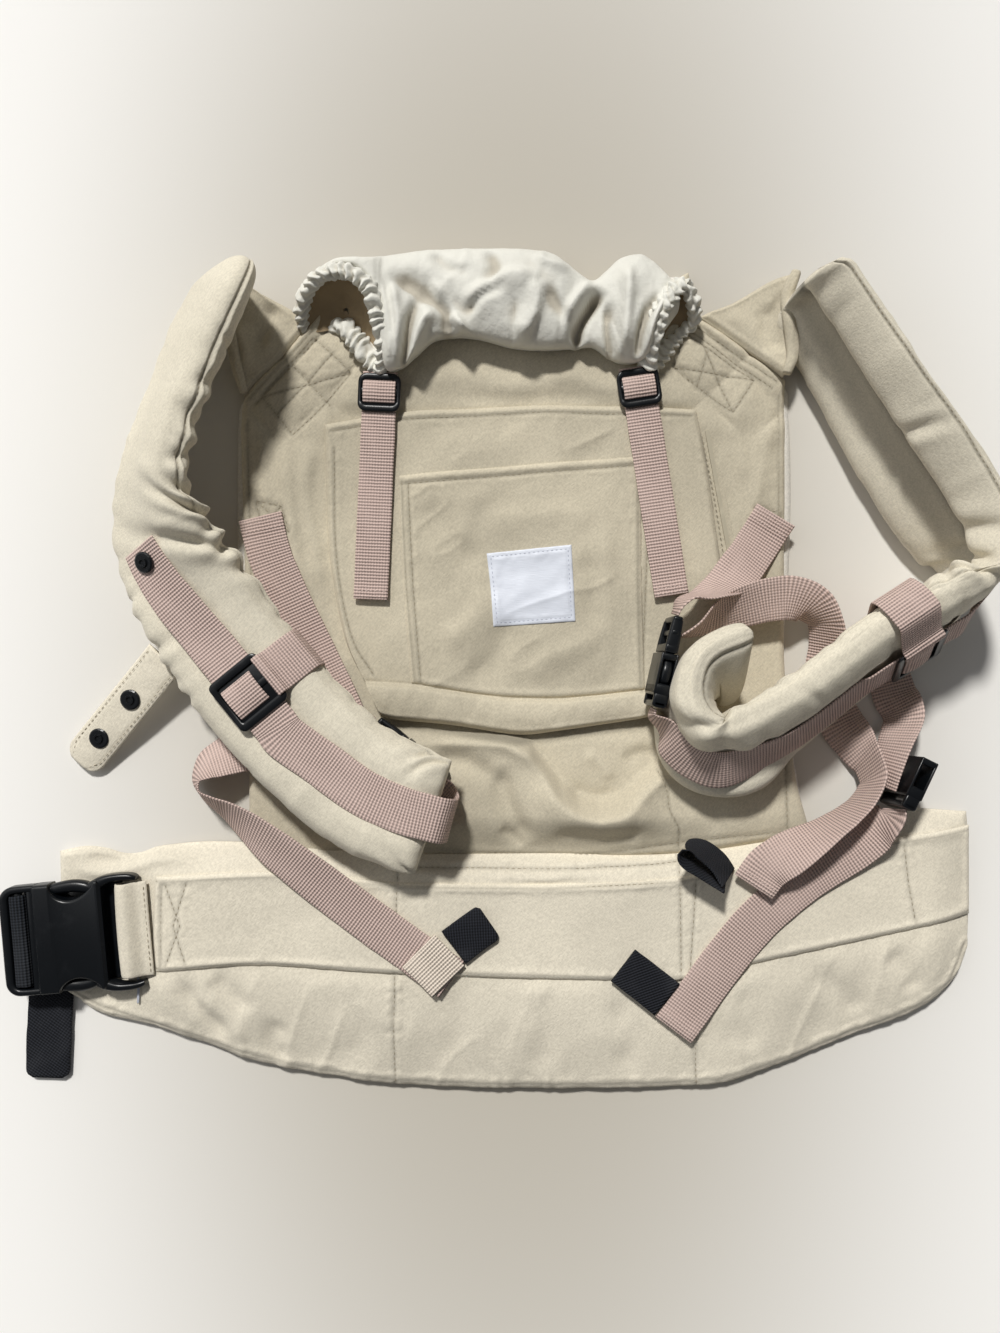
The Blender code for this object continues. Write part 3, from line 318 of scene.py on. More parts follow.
def tube(name, rings, look, uv=None, ends=(True, True), hollow=(0.0, 0.0), marks=None, **others):
    """Skin over closed rings, an array (stations, points, 3), its ends capped by fans.

    hollow says how far the middle of each cap is drawn into the tube."""
    stations, around = rings.shape[:2]
    points = rings.reshape(-1, 3)
    faces = grid_faces(stations, around, 0, wrap=True)
    extra = []
    for which, wanted in enumerate(ends):
        if not wanted:
            continue
        ring = rings[-1] if which else rings[0]
        tip = len(points) + len(extra)
        inward = (rings[-2] - rings[-1] if which else rings[1] - rings[0]).mean(axis=0)
        extra.append(ring.mean(axis=0) + unit(inward) * hollow[which])
        first = (stations - 1) * around if which else 0
        for c in range(around):
            d = (c + 1) % around
            faces.append((first + c, first + d, tip) if which else (first + d, first + c, tip))
    if extra:
        points = np.vstack([points, extra])
        if uv is not None:
            uv = np.vstack([uv, np.tile(uv[-1], (len(extra), 1))])
        if marks is not None:
            # painted shade: the drawn-in middle of a hollow cap is marked dark
            marks = np.r_[np.ravel(marks), [2.6 * (hollow[k] > 0) for k in range(len(extra))]]
    return piece(name, points, faces, look, uv, marks=marks, **others)


def round_ring(y0, y1, z0, z1, r, per=5):
    """Points (y, z) round a rectangle with rounded corners."""
    r = min(r, (y1 - y0) / 2, (z1 - z0) / 2)
    out = []
    for cy, cz, start in ((y1 - r, z1 - r, 0), (y0 + r, z1 - r, 90), (y0 + r, z0 + r, 180),
                          (y1 - r, z0 + r, 270)):
        for k in range(per):
            angle = math.radians(start + 90 * k / (per - 1))
            out.append((cy + r * math.cos(angle), cz + r * math.sin(angle)))
    return out


def shell(rings, loop=False, hollow=(0.0, 0.0)):
    """Points and faces of a closed skin over rings; loop joins the last ring to the first."""
    rings = np.asarray(rings, float)
    stations, around = rings.shape[:2]
    points = rings.reshape(-1, 3)
    faces = grid_faces(stations, around, 0, wrap=True)
    last = (stations - 1) * around
    if loop:
        faces += [(last + c, last + (c + 1) % around, (c + 1) % around, c) for c in range(around)]
        return points, faces
    for which, ring, beside in ((0, rings[0], rings[1]), (1, rings[-1], rings[-2])):
        middle = ring.mean(axis=0) + unit((beside - ring).mean(axis=0)) * hollow[which]
        points = np.vstack([points, middle])
        first, tip = which * last, len(points) - 1
        faces += [(first + c, first + (c + 1) % around, tip) for c in range(around)]
    return points, faces


def block(place, x0, x1, y0, y1, z0, z1, r=1.0):
    """A block with rounded edges, in a placer's local millimetres."""
    rows = ((x0, 0.8), (x0 + 0.25 * r, 0.3), (x0 + r, 0), (x1 - r, 0), (x1 - 0.25 * r, 0.3),
            (x1, 0.8))
    return shell([[place(x, y, z) for y, z in
                   round_ring(y0 + i * r, y1 - i * r, z0 + i * r, z1 - i * r, r)]
                  for x, i in rows])


def rail(place, path, steps=60):
    """A rounded bar along rows of x, y, z, width and thickness."""
    fine = curve(path, steps)
    side = unit(np.cross((0.0, 0.0, 1.0), np.gradient(fine[:, :3], axis=0)))
    rings = []
    for (x, y, z, wide, thick), out in zip(fine, side):
        corner = min(wide, thick) * 0.42
        rings.append([place(*(np.array((x, y, z + h)) + out * v)) for v, h in
                      round_ring(-wide / 2, wide / 2, -thick / 2, thick / 2, corner)])
    return shell(rings)


CRISP_EDGE = 42        # degrees between two faces of a moulding that meet in a sharp line


def moulding(name, shells, look, body=ROOT, node=None):
    """One hard piece made of several closed skins."""
    verts, faces = [], []
    for points, skins in shells:
        faces += [tuple(i + len(verts) for i in skin) for skin in skins]
        verts += [tuple(p) for p in points]
    made = piece(name, verts, faces, look, body=body, crisp=CRISP_EDGE,
                 stands_for=(node,) if node else ())
    form = bmesh.new()
    form.from_mesh(made.data)
    bmesh.ops.recalc_face_normals(form, faces=form.faces)
    form.to_mesh(made.data)
    form.free()


# ---------------------------------------------------------------------------
# finishes
# ---------------------------------------------------------------------------
class Reading:
    """A value in a finish; sums on it become nodes."""

    def __init__(self, finish, socket):
        self.finish, self.socket = finish, socket

    def _sum(self, operation, one, other=None):
        values = {0: one} if other is None else {0: one, 1: other}
        return self.finish.node("ShaderNodeMath", {"operation": operation}, values)

    def __add__(self, other):
        return self._sum("ADD", self, other)

    __radd__ = __add__

    def __sub__(self, other):
        return self._sum("SUBTRACT", self, other)

    def __rsub__(self, other):
        return self._sum("SUBTRACT", other, self)

    def __mul__(self, other):
        return self._sum("MULTIPLY", self, other)

    __rmul__ = __mul__

    def sine(self):
        return self._sum("SINE", self)


class Finish:
    """One material: nodes are added by type, settings and socket values."""

    def __init__(self, name):
        self.material = bpy.data.materials.new(name)
        self.material.use_nodes = True
        self.tree = self.material.node_tree
        self.shader = self.tree.nodes["Principled BSDF"]

    def node(self, kind, settings=None, sockets=None, out=0):
        made = self.tree.nodes.new(kind)
        for key, value in (settings or {}).items():
            setattr(made, key, value)
        for key, value in (sockets or {}).items():
            self.feed(made.inputs[key], value)
        return Reading(self, made.outputs[out])

    def feed(self, socket, value):
        if isinstance(value, Reading):
            self.tree.links.new(value.socket, socket)
        elif isinstance(value, tuple) and len(value) == 3 and socket.type == "RGBA":
            socket.default_value = (*value, 1.0)
        else:
            socket.default_value = value

    def place(self, kind="Object"):
        return self.node("ShaderNodeTexCoord", out=kind)

    def seams(self):
        """The mesh's own marks: painted shade at sewn lines, creases, hollows and gaps, paler worn
        edges.
        """
        return self.node("ShaderNodeAttribute", {"attribute_name": "seam"}, out=2)

    def speckle(self, where, scale, detail=3.0, rough=0.6):
        return self.node("ShaderNodeTexNoise", {},
                         {"Vector": where, "Scale": scale, "Detail": detail, "Roughness": rough})

    def stretched(self, where, by):
        return self.node("ShaderNodeVectorMath", {"operation": "MULTIPLY"}, {0: where, 1: by})

    def turned(self, where, angle):
        return self.node("ShaderNodeVectorRotate", {"rotation_type": "Z_AXIS"},
                         {"Vector": where, "Angle": math.radians(angle)})

    def part(self, where, axis):
        return self.node("ShaderNodeSeparateXYZ", {}, {0: where}, axis)

    def limits(self, value, low, high, to_low=0.0, to_high=1.0):
        return self.node("ShaderNodeMapRange", {"interpolation_type": "SMOOTHSTEP"},
                         {"Value": value, "From Min": low, "From Max": high,
                          "To Min": to_low, "To Max": to_high})

    def blend(self, factor, one, other, how="MIX"):
        return self.node("ShaderNodeMix", {"data_type": "RGBA", "blend_type": how},
                         {0: factor, 6: one, 7: other}, 2)

    def done(self, colour, roughness, relief=None, depth=0.0003, **plain):
        self.feed(self.shader.inputs["Base Color"], colour)
        self.feed(self.shader.inputs["Roughness"], roughness)
        for name, value in plain.items():
            self.feed(self.shader.inputs[name.replace("_", " ")], value)
        if relief is not None:
            self.feed(self.shader.inputs["Normal"],
                      self.node("ShaderNodeBump", {}, {"Height": relief, "Distance": depth}))
        return self.material


def toned(colour, by, lift=0.0):
    """A paler or deeper shade of a colour."""
    return tuple(min(1.0, c * by + lift) for c in colour)


def canvas(name, colour, depth=0.00042, wear=0.05):
    """Brushed cotton twill: fine slanting ribs, uneven fading, painted shade at sewn lines, pale worn
    edges.
    """
    twill = Finish(name)
    where = twill.place()
    slant = twill.turned(where, 38.0)
    warp = twill.speckle(twill.stretched(slant, (1250.0, 330.0, 700.0)), 1.0, 2.0)
    weft = twill.speckle(twill.stretched(slant, (330.0, 1000.0, 700.0)), 1.0, 2.0)
    slub = twill.speckle(twill.stretched(where, (420.0, 520.0, 420.0)), 1.0, 3.0, 0.7)
    faded = twill.limits(twill.speckle(where, 9.0, 3.0, 0.5), 0.36, 0.66)
    base = twill.blend(faded, toned(colour, 1 - wear), toned(colour, 1 + wear))
    grain = twill.limits(warp * 0.55 + weft * 0.3 + slub * 0.15, 0.36, 0.64, 0.88, 1.09)
    # painted shade: the mesh's marks darken sewn lines, creases, hollows and gaps; below zero they
    # pale worn edges
    grain = grain * (1.0 - twill.seams() * 0.28)
    shade = twill.node("ShaderNodeCombineColor", {}, {0: grain, 1: grain, 2: grain})
    base = twill.blend(1.0, base, shade, "MULTIPLY")
    relief = warp * 0.7 + weft * 0.4 + slub * 0.2
    return twill.done(base, twill.limits(slub, 0.3, 0.7, 0.84, 0.96), relief, depth,
                      Sheen_Weight=0.1, Sheen_Roughness=0.6, Specular_IOR_Level=0.2)


def ribbed_tape(name, colour, pitch=0.0023, depth=0.0006, dark=0.50, light=1.30, slant=0.0):
    """Woven webbing: raised ribs across its length, cut into beads by the warp along it."""
    tape = Finish(name)
    where = tape.turned(tape.place("UV"), slant)
    along, across = tape.part(where, 0), tape.part(where, 1)
    sway = tape.speckle(tape.stretched(where, (40.0, 120.0, 1.0)), 1.0, 2.0)
    ribs = (along * (2 * math.pi / pitch) + sway * 1.2).sine() * 0.5 + 0.5
    warp = (across * (2 * math.pi / 0.0021)).sine() * 0.5 + 0.5
    fuzz = tape.speckle(tape.stretched(where, (900.0, 900.0, 1.0)), 1.0, 3.0)
    worn = tape.limits(tape.speckle(tape.stretched(where, (16.0, 30.0, 1.0)), 1.0, 3.0), 0.42, 0.70)
    thread = tape.limits(ribs * 0.60 + warp * 0.26 + fuzz * 0.20, 0.10, 0.80)
    base = tape.blend(thread, toned(colour, dark), toned(colour, light))
    base = tape.blend(worn * 0.45, base, toned(colour, light - 0.12, 0.02))
    relief = ribs * 0.8 + warp * 0.35 + fuzz * 0.25
    return tape.done(base, tape.limits(fuzz, 0.3, 0.7, 0.75, 0.92), relief, depth,
                     Specular_IOR_Level=0.25)


def thin_cotton(name, colour):
    """Soft thin lawn with small crush marks, and painted shade in its creases and pleats."""
    lawn = Finish(name)
    where = lawn.place()
    crush = lawn.speckle(lawn.turned(where, 30.0), 55.0, 4.0, 0.55)
    weave = lawn.speckle(where, 1400.0, 2.0)
    tone = lawn.limits(lawn.speckle(where, 14.0, 3.0), 0.35, 0.7)
    base = lawn.blend(tone, toned(colour, 0.94), toned(colour, 1.05))
    # painted shade: the mesh's marks draw the colour towards this deeper one in creases and pleats
    crease_shade_colour = tuple(c * d for c, d in zip(colour, (0.50, 0.44, 0.36)))
    base = lawn.blend(lawn.limits(lawn.seams(), 0.0, 1.0), base, crease_shade_colour)
    relief = crush * 1.0 + weave * 0.06
    return lawn.done(base, lawn.limits(crush, 0.3, 0.7, 0.72, 0.88), relief, 0.0022,
                     Specular_IOR_Level=0.3, Sheen_Weight=0.1)


def moulded(name, colour, roughness=0.34):
    """Moulded plastic: a faint grain, a few rubbed places."""
    resin = Finish(name)
    where = resin.place()
    grain = resin.speckle(where, 900.0, 3.0)
    rubbed = resin.limits(resin.speckle(where, 60.0, 4.0), 0.52, 0.72)
    base = resin.blend(rubbed * 0.5, colour, toned(colour, 1.3, 0.0005))
    return resin.done(base, resin.limits(rubbed * 0.3 + grain * 0.5, 0.2, 0.8, roughness - 0.05,
                                         roughness + 0.10), grain, 0.00005,
                      Specular_IOR_Level=0.36)


def satin(name, colour):
    """Woven satin label cloth, plain, with fine lines along its width."""
    sheen = Finish(name)
    where = sheen.place("UV")
    lines = sheen.speckle(sheen.stretched(where, (120.0, 2600.0, 1.0)), 1.0, 2.0)
    cloud = sheen.speckle(sheen.stretched(where, (40.0, 60.0, 1.0)), 1.0, 2.0)
    base = sheen.blend(sheen.limits(lines * 0.6 + cloud * 0.4, 0.3, 0.7),
                       toned(colour, 0.93), toned(colour, 1.05))
    return sheen.done(base, sheen.limits(lines, 0.3, 0.7, 0.38, 0.52), lines, 0.00015,
                      Sheen_Weight=0.2)


def metal(name, colour):
    """Small painted zip metal with rubbed edges."""
    zinc = Finish(name)
    rub = zinc.limits(zinc.speckle(zinc.place(), 500.0, 3.0), 0.45, 0.6)
    return zinc.done(zinc.blend(rub, colour, toned(colour, 1.3)),
                     zinc.limits(rub, 0.0, 1.0, 0.3, 0.5), rub, 0.00005, Metallic=0.6)


def thread(name, colour):
    """Twisted sewing thread."""
    cotton = Finish(name)
    twist = cotton.speckle(cotton.place(), 1800.0, 2.0)
    base = cotton.blend(cotton.limits(twist, 0.3, 0.7), toned(colour, 0.85), colour)
    return cotton.done(base, 0.8, twist, 0.0002, Specular_IOR_Level=0.3)


CANVAS = canvas("canvas_sand", (0.550, 0.497, 0.385), wear=0.09)
CANVAS_PALE = canvas("canvas_belt", (0.715, 0.66, 0.545))
PAD_CANVAS = canvas("canvas_pads", (0.68, 0.63, 0.515))
LINING = canvas("lining_cream", (0.74, 0.71, 0.65), 0.0002, 0.05)
HOOD_CLOTH = thin_cotton("hood_cotton", (0.72, 0.71, 0.65))
PINK_TAPE = ribbed_tape("webbing_pink", (0.51, 0.39, 0.35))
PALE_TAPE = ribbed_tape("webbing_turned_end", (0.66, 0.575, 0.49))
BLACK_TAPE = ribbed_tape("webbing_black", (0.0075, 0.009, 0.012), 0.0024, 0.0007, 0.3, 2.2)
ELASTIC = ribbed_tape("elastic_black", (0.0085, 0.0095, 0.013), 0.0019, 0.0006, 0.35, 2.0, 32.0)
PLASTIC = moulded("plastic_black", (0.0035, 0.0045, 0.006), 0.34)
SATIN = satin("label_satin", (0.70, 0.735, 0.82))
ZIP_METAL = metal("zip_paint", (0.40, 0.37, 0.30))
SEAM_THREAD = thread("thread_sand", (0.36, 0.31, 0.225))
PINK_THREAD = thread("thread_pink", (0.68, 0.56, 0.51))
ZIP_COIL = moulded("zip_coil", (0.42, 0.38, 0.29), 0.5)
# painted shade: a dark brown cotton for the sheets that stand for the shaded inside of the hood
HOOD_INSIDE_SHADE = thin_cotton("hood_inside_painted_shade", (0.34, 0.255, 0.155))
WHITE_THREAD = thread("thread_white", (0.52, 0.55, 0.64))


# ---------------------------------------------------------------------------
# sewing
# ---------------------------------------------------------------------------
def stitches(points, length=2.6, gap=1.6, thick=0.55, lift=-0.22):
    """Points and faces of the stitches along a run of points on a surface."""
    points = np.asarray(points, float)
    run = running(points)
    count = max(1, int(run[-1] / (length + gap)))
    verts, faces = [], []
    for k in range(count):
        start = (k + 0.5) * run[-1] / count - length / 2
        line = [np.array([np.interp(start + length * f, run, points[:, c]) for c in range(3)])
                for f in (0.0, 0.25, 0.75, 1.0)]
        along = line[-1] - line[0]
        if np.linalg.norm(along) < 1e-6:
            continue
        along = along / np.linalg.norm(along)
        side = np.cross(along, (0.0, 0.0, 1.0))
        norm = np.linalg.norm(side)
        side = np.array((1.0, 0, 0)) if norm < 1e-6 else side / norm
        rise = np.cross(side, along)
        first = len(verts)
        for place, (r, up) in zip(line, ((0.35, -0.25), (1.0, lift), (1.0, lift), (0.35, -0.25))):
            for angle in (0, 60, 120, 180, 240, 300):
                c, s = math.cos(math.radians(angle)), math.sin(math.radians(angle))
                verts.append(place + side * c * r * thick / 2 + rise * (s * r * thick / 2 + up))
        for row in range(3):
            for c in range(6):
                d = (c + 1) % 6
                a = first + row * 6
                faces.append((a + c, a + 6 + c, a + 6 + d, a + d))
        faces.append(tuple(first + c for c in range(6)))
        faces.append(tuple(first + 18 + c for c in reversed(range(6))))
    return verts, faces


def sew(name, lines, look=None, body=ROOT, **kind):
    """One piece holding the stitches of several seam lines."""
    verts, faces = [], []
    for line in lines:
        more, skins = stitches(line, **kind)
        faces += [tuple(i + len(verts) for i in skin) for skin in skins]
        verts += more
    return piece(name, verts, faces, look or SEAM_THREAD, body=body, flat=True)


def on_surface(path, height, count=60, lift=0.0):
    """Points of a smooth path laid on a height function."""
    line = curve(path, count)[:, :2]
    return np.column_stack([line, height(line[:, 0], line[:, 1]) + lift])


def straight(path, height, per=4.0):
    """Points of a path of straight legs laid on a height function."""
    out = []
    for (ax, ay), (bx, by) in zip(path[:-1], path[1:]):
        n = max(2, int(math.hypot(bx - ax, by - ay) / per))
        for k in range(n):
            out.append((ax + (bx - ax) * k / n, ay + (by - ay) * k / n))
    out.append(tuple(path[-1]))
    line = np.array(out)
    return np.column_stack([line, height(line[:, 0], line[:, 1])])


# ---------------------------------------------------------------------------
# camera, light and floor
# ---------------------------------------------------------------------------
def lamp(name, kind, place, **settings):
    """A light at a place in metres that shines at the object."""
    light = bpy.data.objects.new(name, bpy.data.lights.new(name, kind))
    for key, value in settings.items():
        setattr(light.data, key, value)
    light.location = place
    light.rotation_euler = Vector(place).to_track_quat("Z", "Y").to_euler()
    bpy.context.scene.collection.objects.link(light)


def studio():
    camera = bpy.data.objects.new("camera", bpy.data.cameras.new("camera"))
    camera.data.lens = 27.0
    camera.data.sensor_width = 36.0
    camera.data.clip_start = 0.01
    camera.location = (-0.0112, 0.0, 0.745)
    scene = bpy.context.scene
    scene.collection.objects.link(camera)
    scene.camera = camera
    scene.view_settings.view_transform = "Standard"
    lamp("sun", "SUN", (-0.25, 0.84, 1.0), energy=3.22, angle=0.11, color=(1.0, 0.985, 0.95))
    lamp("window", "AREA", (-1.5, 0.5, 1.0), energy=8.0, size=1.8)

    world = bpy.data.worlds.new("room")
    scene.world = world
    world.use_nodes = True
    glow = world.node_tree.nodes["Background"]
    glow.inputs["Color"].default_value = (0.98, 0.985, 1.0, 1.0)
    glow.inputs["Strength"].default_value = 0.13

    ground = Finish("floor_paper")
    where = ground.place()
    radius = ground.node("ShaderNodeVectorMath", {"operation": "LENGTH"},
                         {0: ground.stretched(where, (1.0, 0.42, 0.0))}, 1)
    # the floor is darker and warmer in the middle, round the carrier, and pales outward
    warm = ground.blend(ground.limits(radius, 0.10, 0.46), (0.52, 0.485, 0.42), (0.93, 0.92, 0.90))
    floor_look = ground.done(warm, 0.9, Specular_IOR_Level=0.1)
    mesh = bpy.data.meshes.new("floor")
    half = 4.0
    corners = [(-half, -half, 0), (half, -half, 0), (half, half, 0), (-half, half, 0)]
    mesh.from_pydata(corners, [], [(0, 1, 2, 3)])
    mesh.materials.append(floor_look)
    floor = bpy.data.objects.new("floor", mesh)
    floor.location = (0, 0, solid_box[0][2] - 0.0004)
    scene.collection.objects.link(floor)


# ---------------------------------------------------------------------------
# heights of the layers
# ---------------------------------------------------------------------------
def top_of(node):
    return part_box(node)[1][2] / MM


def foot_of(node):
    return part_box(node)[0][2] / MM


LINING_TOP = top_of("body_lining")
POUCH_BASE = foot_of("zip_pocket")
POUCH_LEVEL = top_of("zip_pocket")
PANEL_LEVEL = POUCH_BASE - 0.35

FOLD_EDGE = ((-120, -46), (-80, -45), (-33, -46), (-8, -50), (10, -60), (21, -74), (32, -88),
             (46, -99), (61, -103), (76, -100), (90, -90), (104, -78), (125, -68), (220, -62))
FOLD_RISE = ((-170, 0), (-120, 4), (-80, 8), (-40, 10), (0, 15), (40, 19), (80, 18), (110, 12),
             (150, 8), (215, 5))
POUCH_LEFT = ((-44, -88), (-17, -107), (20, -125), (78, -136), (178, -140))
POUCH_RIGHT = ((-44, 108), (-17, 150), (12, 165), (65, 153), (128, 143), (189, 133))
POUCH_FOOT = ((-109, -12), (-76, -14), (-8, -24), (33, -25), (94, -18), (150, -14))
GUSSET_FOOT = ((-100, -37), (-46, -43), (1, -50), (33, -47), (93, -38), (130, -34))
SLIP_HEM = ((-86, 133.5), (92, 147.5))


def under_pouch(x, y):
    """1 where the pouch lies on the body."""
    return (smooth(-2, 10, x - between(y, POUCH_LEFT)) * smooth(-2, 10, between(y, POUCH_RIGHT) - x)
            * smooth(-52, -44, y) * smooth(196, 184, y))


# folds, each a path, its height (negative sinks) and its widths on the left and the right;
# the body's sides, then the ripples above the pockets
BODY_FOLDS = (
    (((-172, 176), (-166, 120), (-158, 60), (-150, 10)), 3.2, 6, 8),
    (((-150, 176), (-154, 130), (-148, 90), (-140, 40)), 2.6, 5, 6),
    (((-186, 176), (-184, 140), (-176, 110)), 1.8, 4, 6),
    (((-190, 96), (-178, 80), (-168, 56), (-166, 20)), 2.2, 5, 6),
    (((-180, 10), (-160, -14), (-134, -26)), 2.2, 6, 6),
    (((188, 190), (180, 140), (170, 90)), 3.0, 6, 9),
    (((160, 200), (166, 160), (172, 130)), 2.4, 5, 7),
    (((182, 80), (176, 50), (170, 20)), 2.2, 5, 7),
    (((-82, 205), (-40, 214), (0, 206), (30, 212)), 2.4, 9),
    (((10, 206), (40, 214), (70, 204), (100, 210)), 2.6, 8),
    (((-60, 199), (0, 197), (80, 198)), -1.5, 6),
)
# the loose cloth between the pouch and the belt
LOOSE_FOLDS = (
    (((-80, -47), (-45, -48), (-12, -52), (8, -62), (20, -76)), 6.5, 4, 8),
    (((-62, -68), (-36, -70), (-14, -82)), -5.0, 8, 8),
    (((-12, -70), (-8, -92), (0, -112), (12, -130)), -7.0, 7, 11),
    (((16, -78), (32, -100), (56, -112), (82, -107), (98, -92)), 6.0, 4, 12),
    (((36, -90), (56, -98), (78, -94)), -2.4, 7, 6),
    (((84, -98), (98, -82), (112, -84)), 3.4, 6, 9),
    (((78, -72), (92, -64), (110, -66)), -2.4, 5, 5),
    (((50, -62), (66, -74), (70, -86)), 2.2, 5, 5),
    (((-70, -128), (-52, -112), (-36, -104)), -3.4, 4, 6),
    (((-96, -70), (-84, -92), (-60, -104)), 3.0, 5, 8),
    (((-12, -118), (0, -126), (4, -134)), -2.6, 4, 4),
    (((24, -132), (40, -122), (70, -124), (104, -120)), -2.6, 5, 6),
)


def body_z(x, y):
    """Top of the quilted body."""
    z = (PANEL_LEVEL + 1.2 + 0.8 * rumple(x, y, 70, 3) + 0.6 * rumple(x, y, 24, 8, 60, 1.8)
         + 0.7 * pull(x, y, 44, 12, 80, 2.4) * smooth(120, 150, np.abs(x)))
    z = z + 1.6 * smooth(-150, -170, x) * smooth(-60, 20, y)
    z = z + 1.4 * smooth(158, 176, x) * smooth(-60, 20, y)
    # quilting of the two shoulder corners
    for side, flip in ((-1, 1), (1, -1)):
        near = smooth(70, 110, side * x) * smooth(160, 185, y)
        u = (x * 0.72 * flip - y * 0.69)
        v = (x * 0.69 * flip + y * 0.72)
        cushion = (np.abs(np.sin(u * math.pi / 34.0)) ** 0.5
                   * np.abs(np.sin(v * math.pi / 46.0)) ** 0.5)
        z = z + near * (4.2 * cushion - 1.4)
    # the loose fold between the pouch and the belt
    edge, rise = between(x, FOLD_EDGE), between(x, FOLD_RISE)
    z = z + rise * smooth(9, -9, y - edge) * smooth(-141, -108, y)
    z = z + folds(x, y, BODY_FOLDS) + folds(x, y, LOOSE_FOLDS)
    flat = under_pouch(x, y)
    z = z * (1 - flat) + (PANEL_LEVEL - 0.5) * flat
    deep = smooth(-58, -46, y) * smooth(-36, -44, y) * smooth(-105, -90, x) * smooth(120, 100, x)
    return z * (1 - deep) + (PANEL_LEVEL - 0.8) * deep


POUCH_FOLDS = (
    (((-66, 124), (-46, 92), (-30, 78), (-22, 74)), -1.9, 9, 13),
    (((-58, 18), (-40, 26), (-26, 44), (-20, 62)), 1.8, 8, 12),
    (((-40, -12), (-18, 4), (-6, 22), (6, 30)), -2.0, 9, 11),
    (((10, -16), (24, 4), (44, 14), (66, 20)), 1.8, 8, 12),
    (((-30, 116), (0, 108), (34, 112), (60, 104)), 1.4, 8, 14),
    (((46, 84), (58, 66), (56, 44), (66, 26)), -1.6, 8, 10),
)


def pouch_z(x, y):
    """Top of the zipped pouch, with its rolled gusset along the bottom."""
    z = POUCH_LEVEL + 0.9 + 0.55 * rumple(x, y, 90, 21) + 0.4 * rumple(x, y, 30, 23, 35, 1.6)
    # creases between the hood's straps, which press the pouch flat
    free = smooth(-84, -70, x) * smooth(78, 64, x)
    creased = 1.0 * rumple(x, y, 60, 25, 30, 1.5) + 0.9 * pull(x, y, 38, 27, 35, 2.2)
    z = z + 1.5 * free * (creased + folds(x, y, POUCH_FOLDS))
    foot, low = between(x, POUCH_FOOT), between(x, GUSSET_FOOT)
    t = np.clip((foot - y) / np.maximum(foot - low, 1), 0, 1.1)
    roll = np.sqrt(np.maximum(0.0, 1.0 - ((t - 0.42) / 0.68) ** 2))
    gusset = (POUCH_LEVEL - 3.0 + 8.5 * roll + 1.1 * rumple(x, y, 26, 31, 80, 1.5)
              + 1.1 * pull(x, y, 30, 33, 75, 2.0))
    mix = smooth(-1.5, 1.5, foot - y)
    z = z * (1 - mix) + gusset * mix
    z = z - 1.6 * np.exp(-((foot - y) / 1.6) ** 2)
    return z + 0.6 * np.exp(-((x - between(y, POUCH_LEFT) - 6) / 5.0) ** 2)


def slip_z(x, y):
    """Top of the open slip pocket on the pouch."""
    hem = between(x, SLIP_HEM)
    sunk = 0.35 * np.exp(-((y - hem) / 1.3) ** 2)
    gape = 0.9 * smooth(-6, 16, y - hem) * np.sin(np.clip((x + 86) / 178, 0, 1) * math.pi)
    return pouch_z(x, y) + 1.15 + gape - sunk + 0.2 * rumple(x, y, 40, 41, 20, 2.0)


# ---------------------------------------------------------------------------
# body, wings and pockets
# ---------------------------------------------------------------------------
def route(*points, count=24):
    """Plan points along a smooth curve, for a sewn line that isn't straight."""
    return [tuple(p) for p in curve(points, count)[:, :2]]


BODY_SEAMS = [
    ((-150, 247), (-196, 196)), ((-146, 243), (-191, 193)),
    ((134, 251), (193, 209)), ((130, 247), (189, 205)),
    ((-149, 243), (-121, 217), (-146, 188), (-164, 171), (-187, 199), (-149, 243)),
    ((-164, 222), (-136, 192)), ((-134, 231), (-176, 184)), ((-121, 217), (-186, 198)),
    ((125, 246), (176, 211), (160, 187), (117, 221), (125, 246)), ((117, 221), (176, 211)),
    ((142, 233), (134, 206)), ((160, 187), (138, 238)),
    ((-191, 122), (-172, 118), (-166, 99), (-187, 103), (-191, 122)), ((-191, 122), (-166, 99)),
    ((-172, 118), (-187, 103)),
    ((176, 118), (196, 113), (193, 92), (175, 96), (176, 118)), ((176, 118), (193, 92)),
    ((196, 113), (175, 96)),
    route((-126, -134), (-44, -135.5), (4, -138), (48, -138.5), (92, -133.5), (136, -127),
          (205, -121)),
    route((104, -76), (110, -90), (112, -104), (119, -118), (120, -133)),
    ((197, -40), (199, -100), (200, -120)),
    ((-194, -60), (-191, 0), (-195, 60), (-196.5, 180)),
    ((194.5, 100), (193.5, 150), (194, 200)),
]


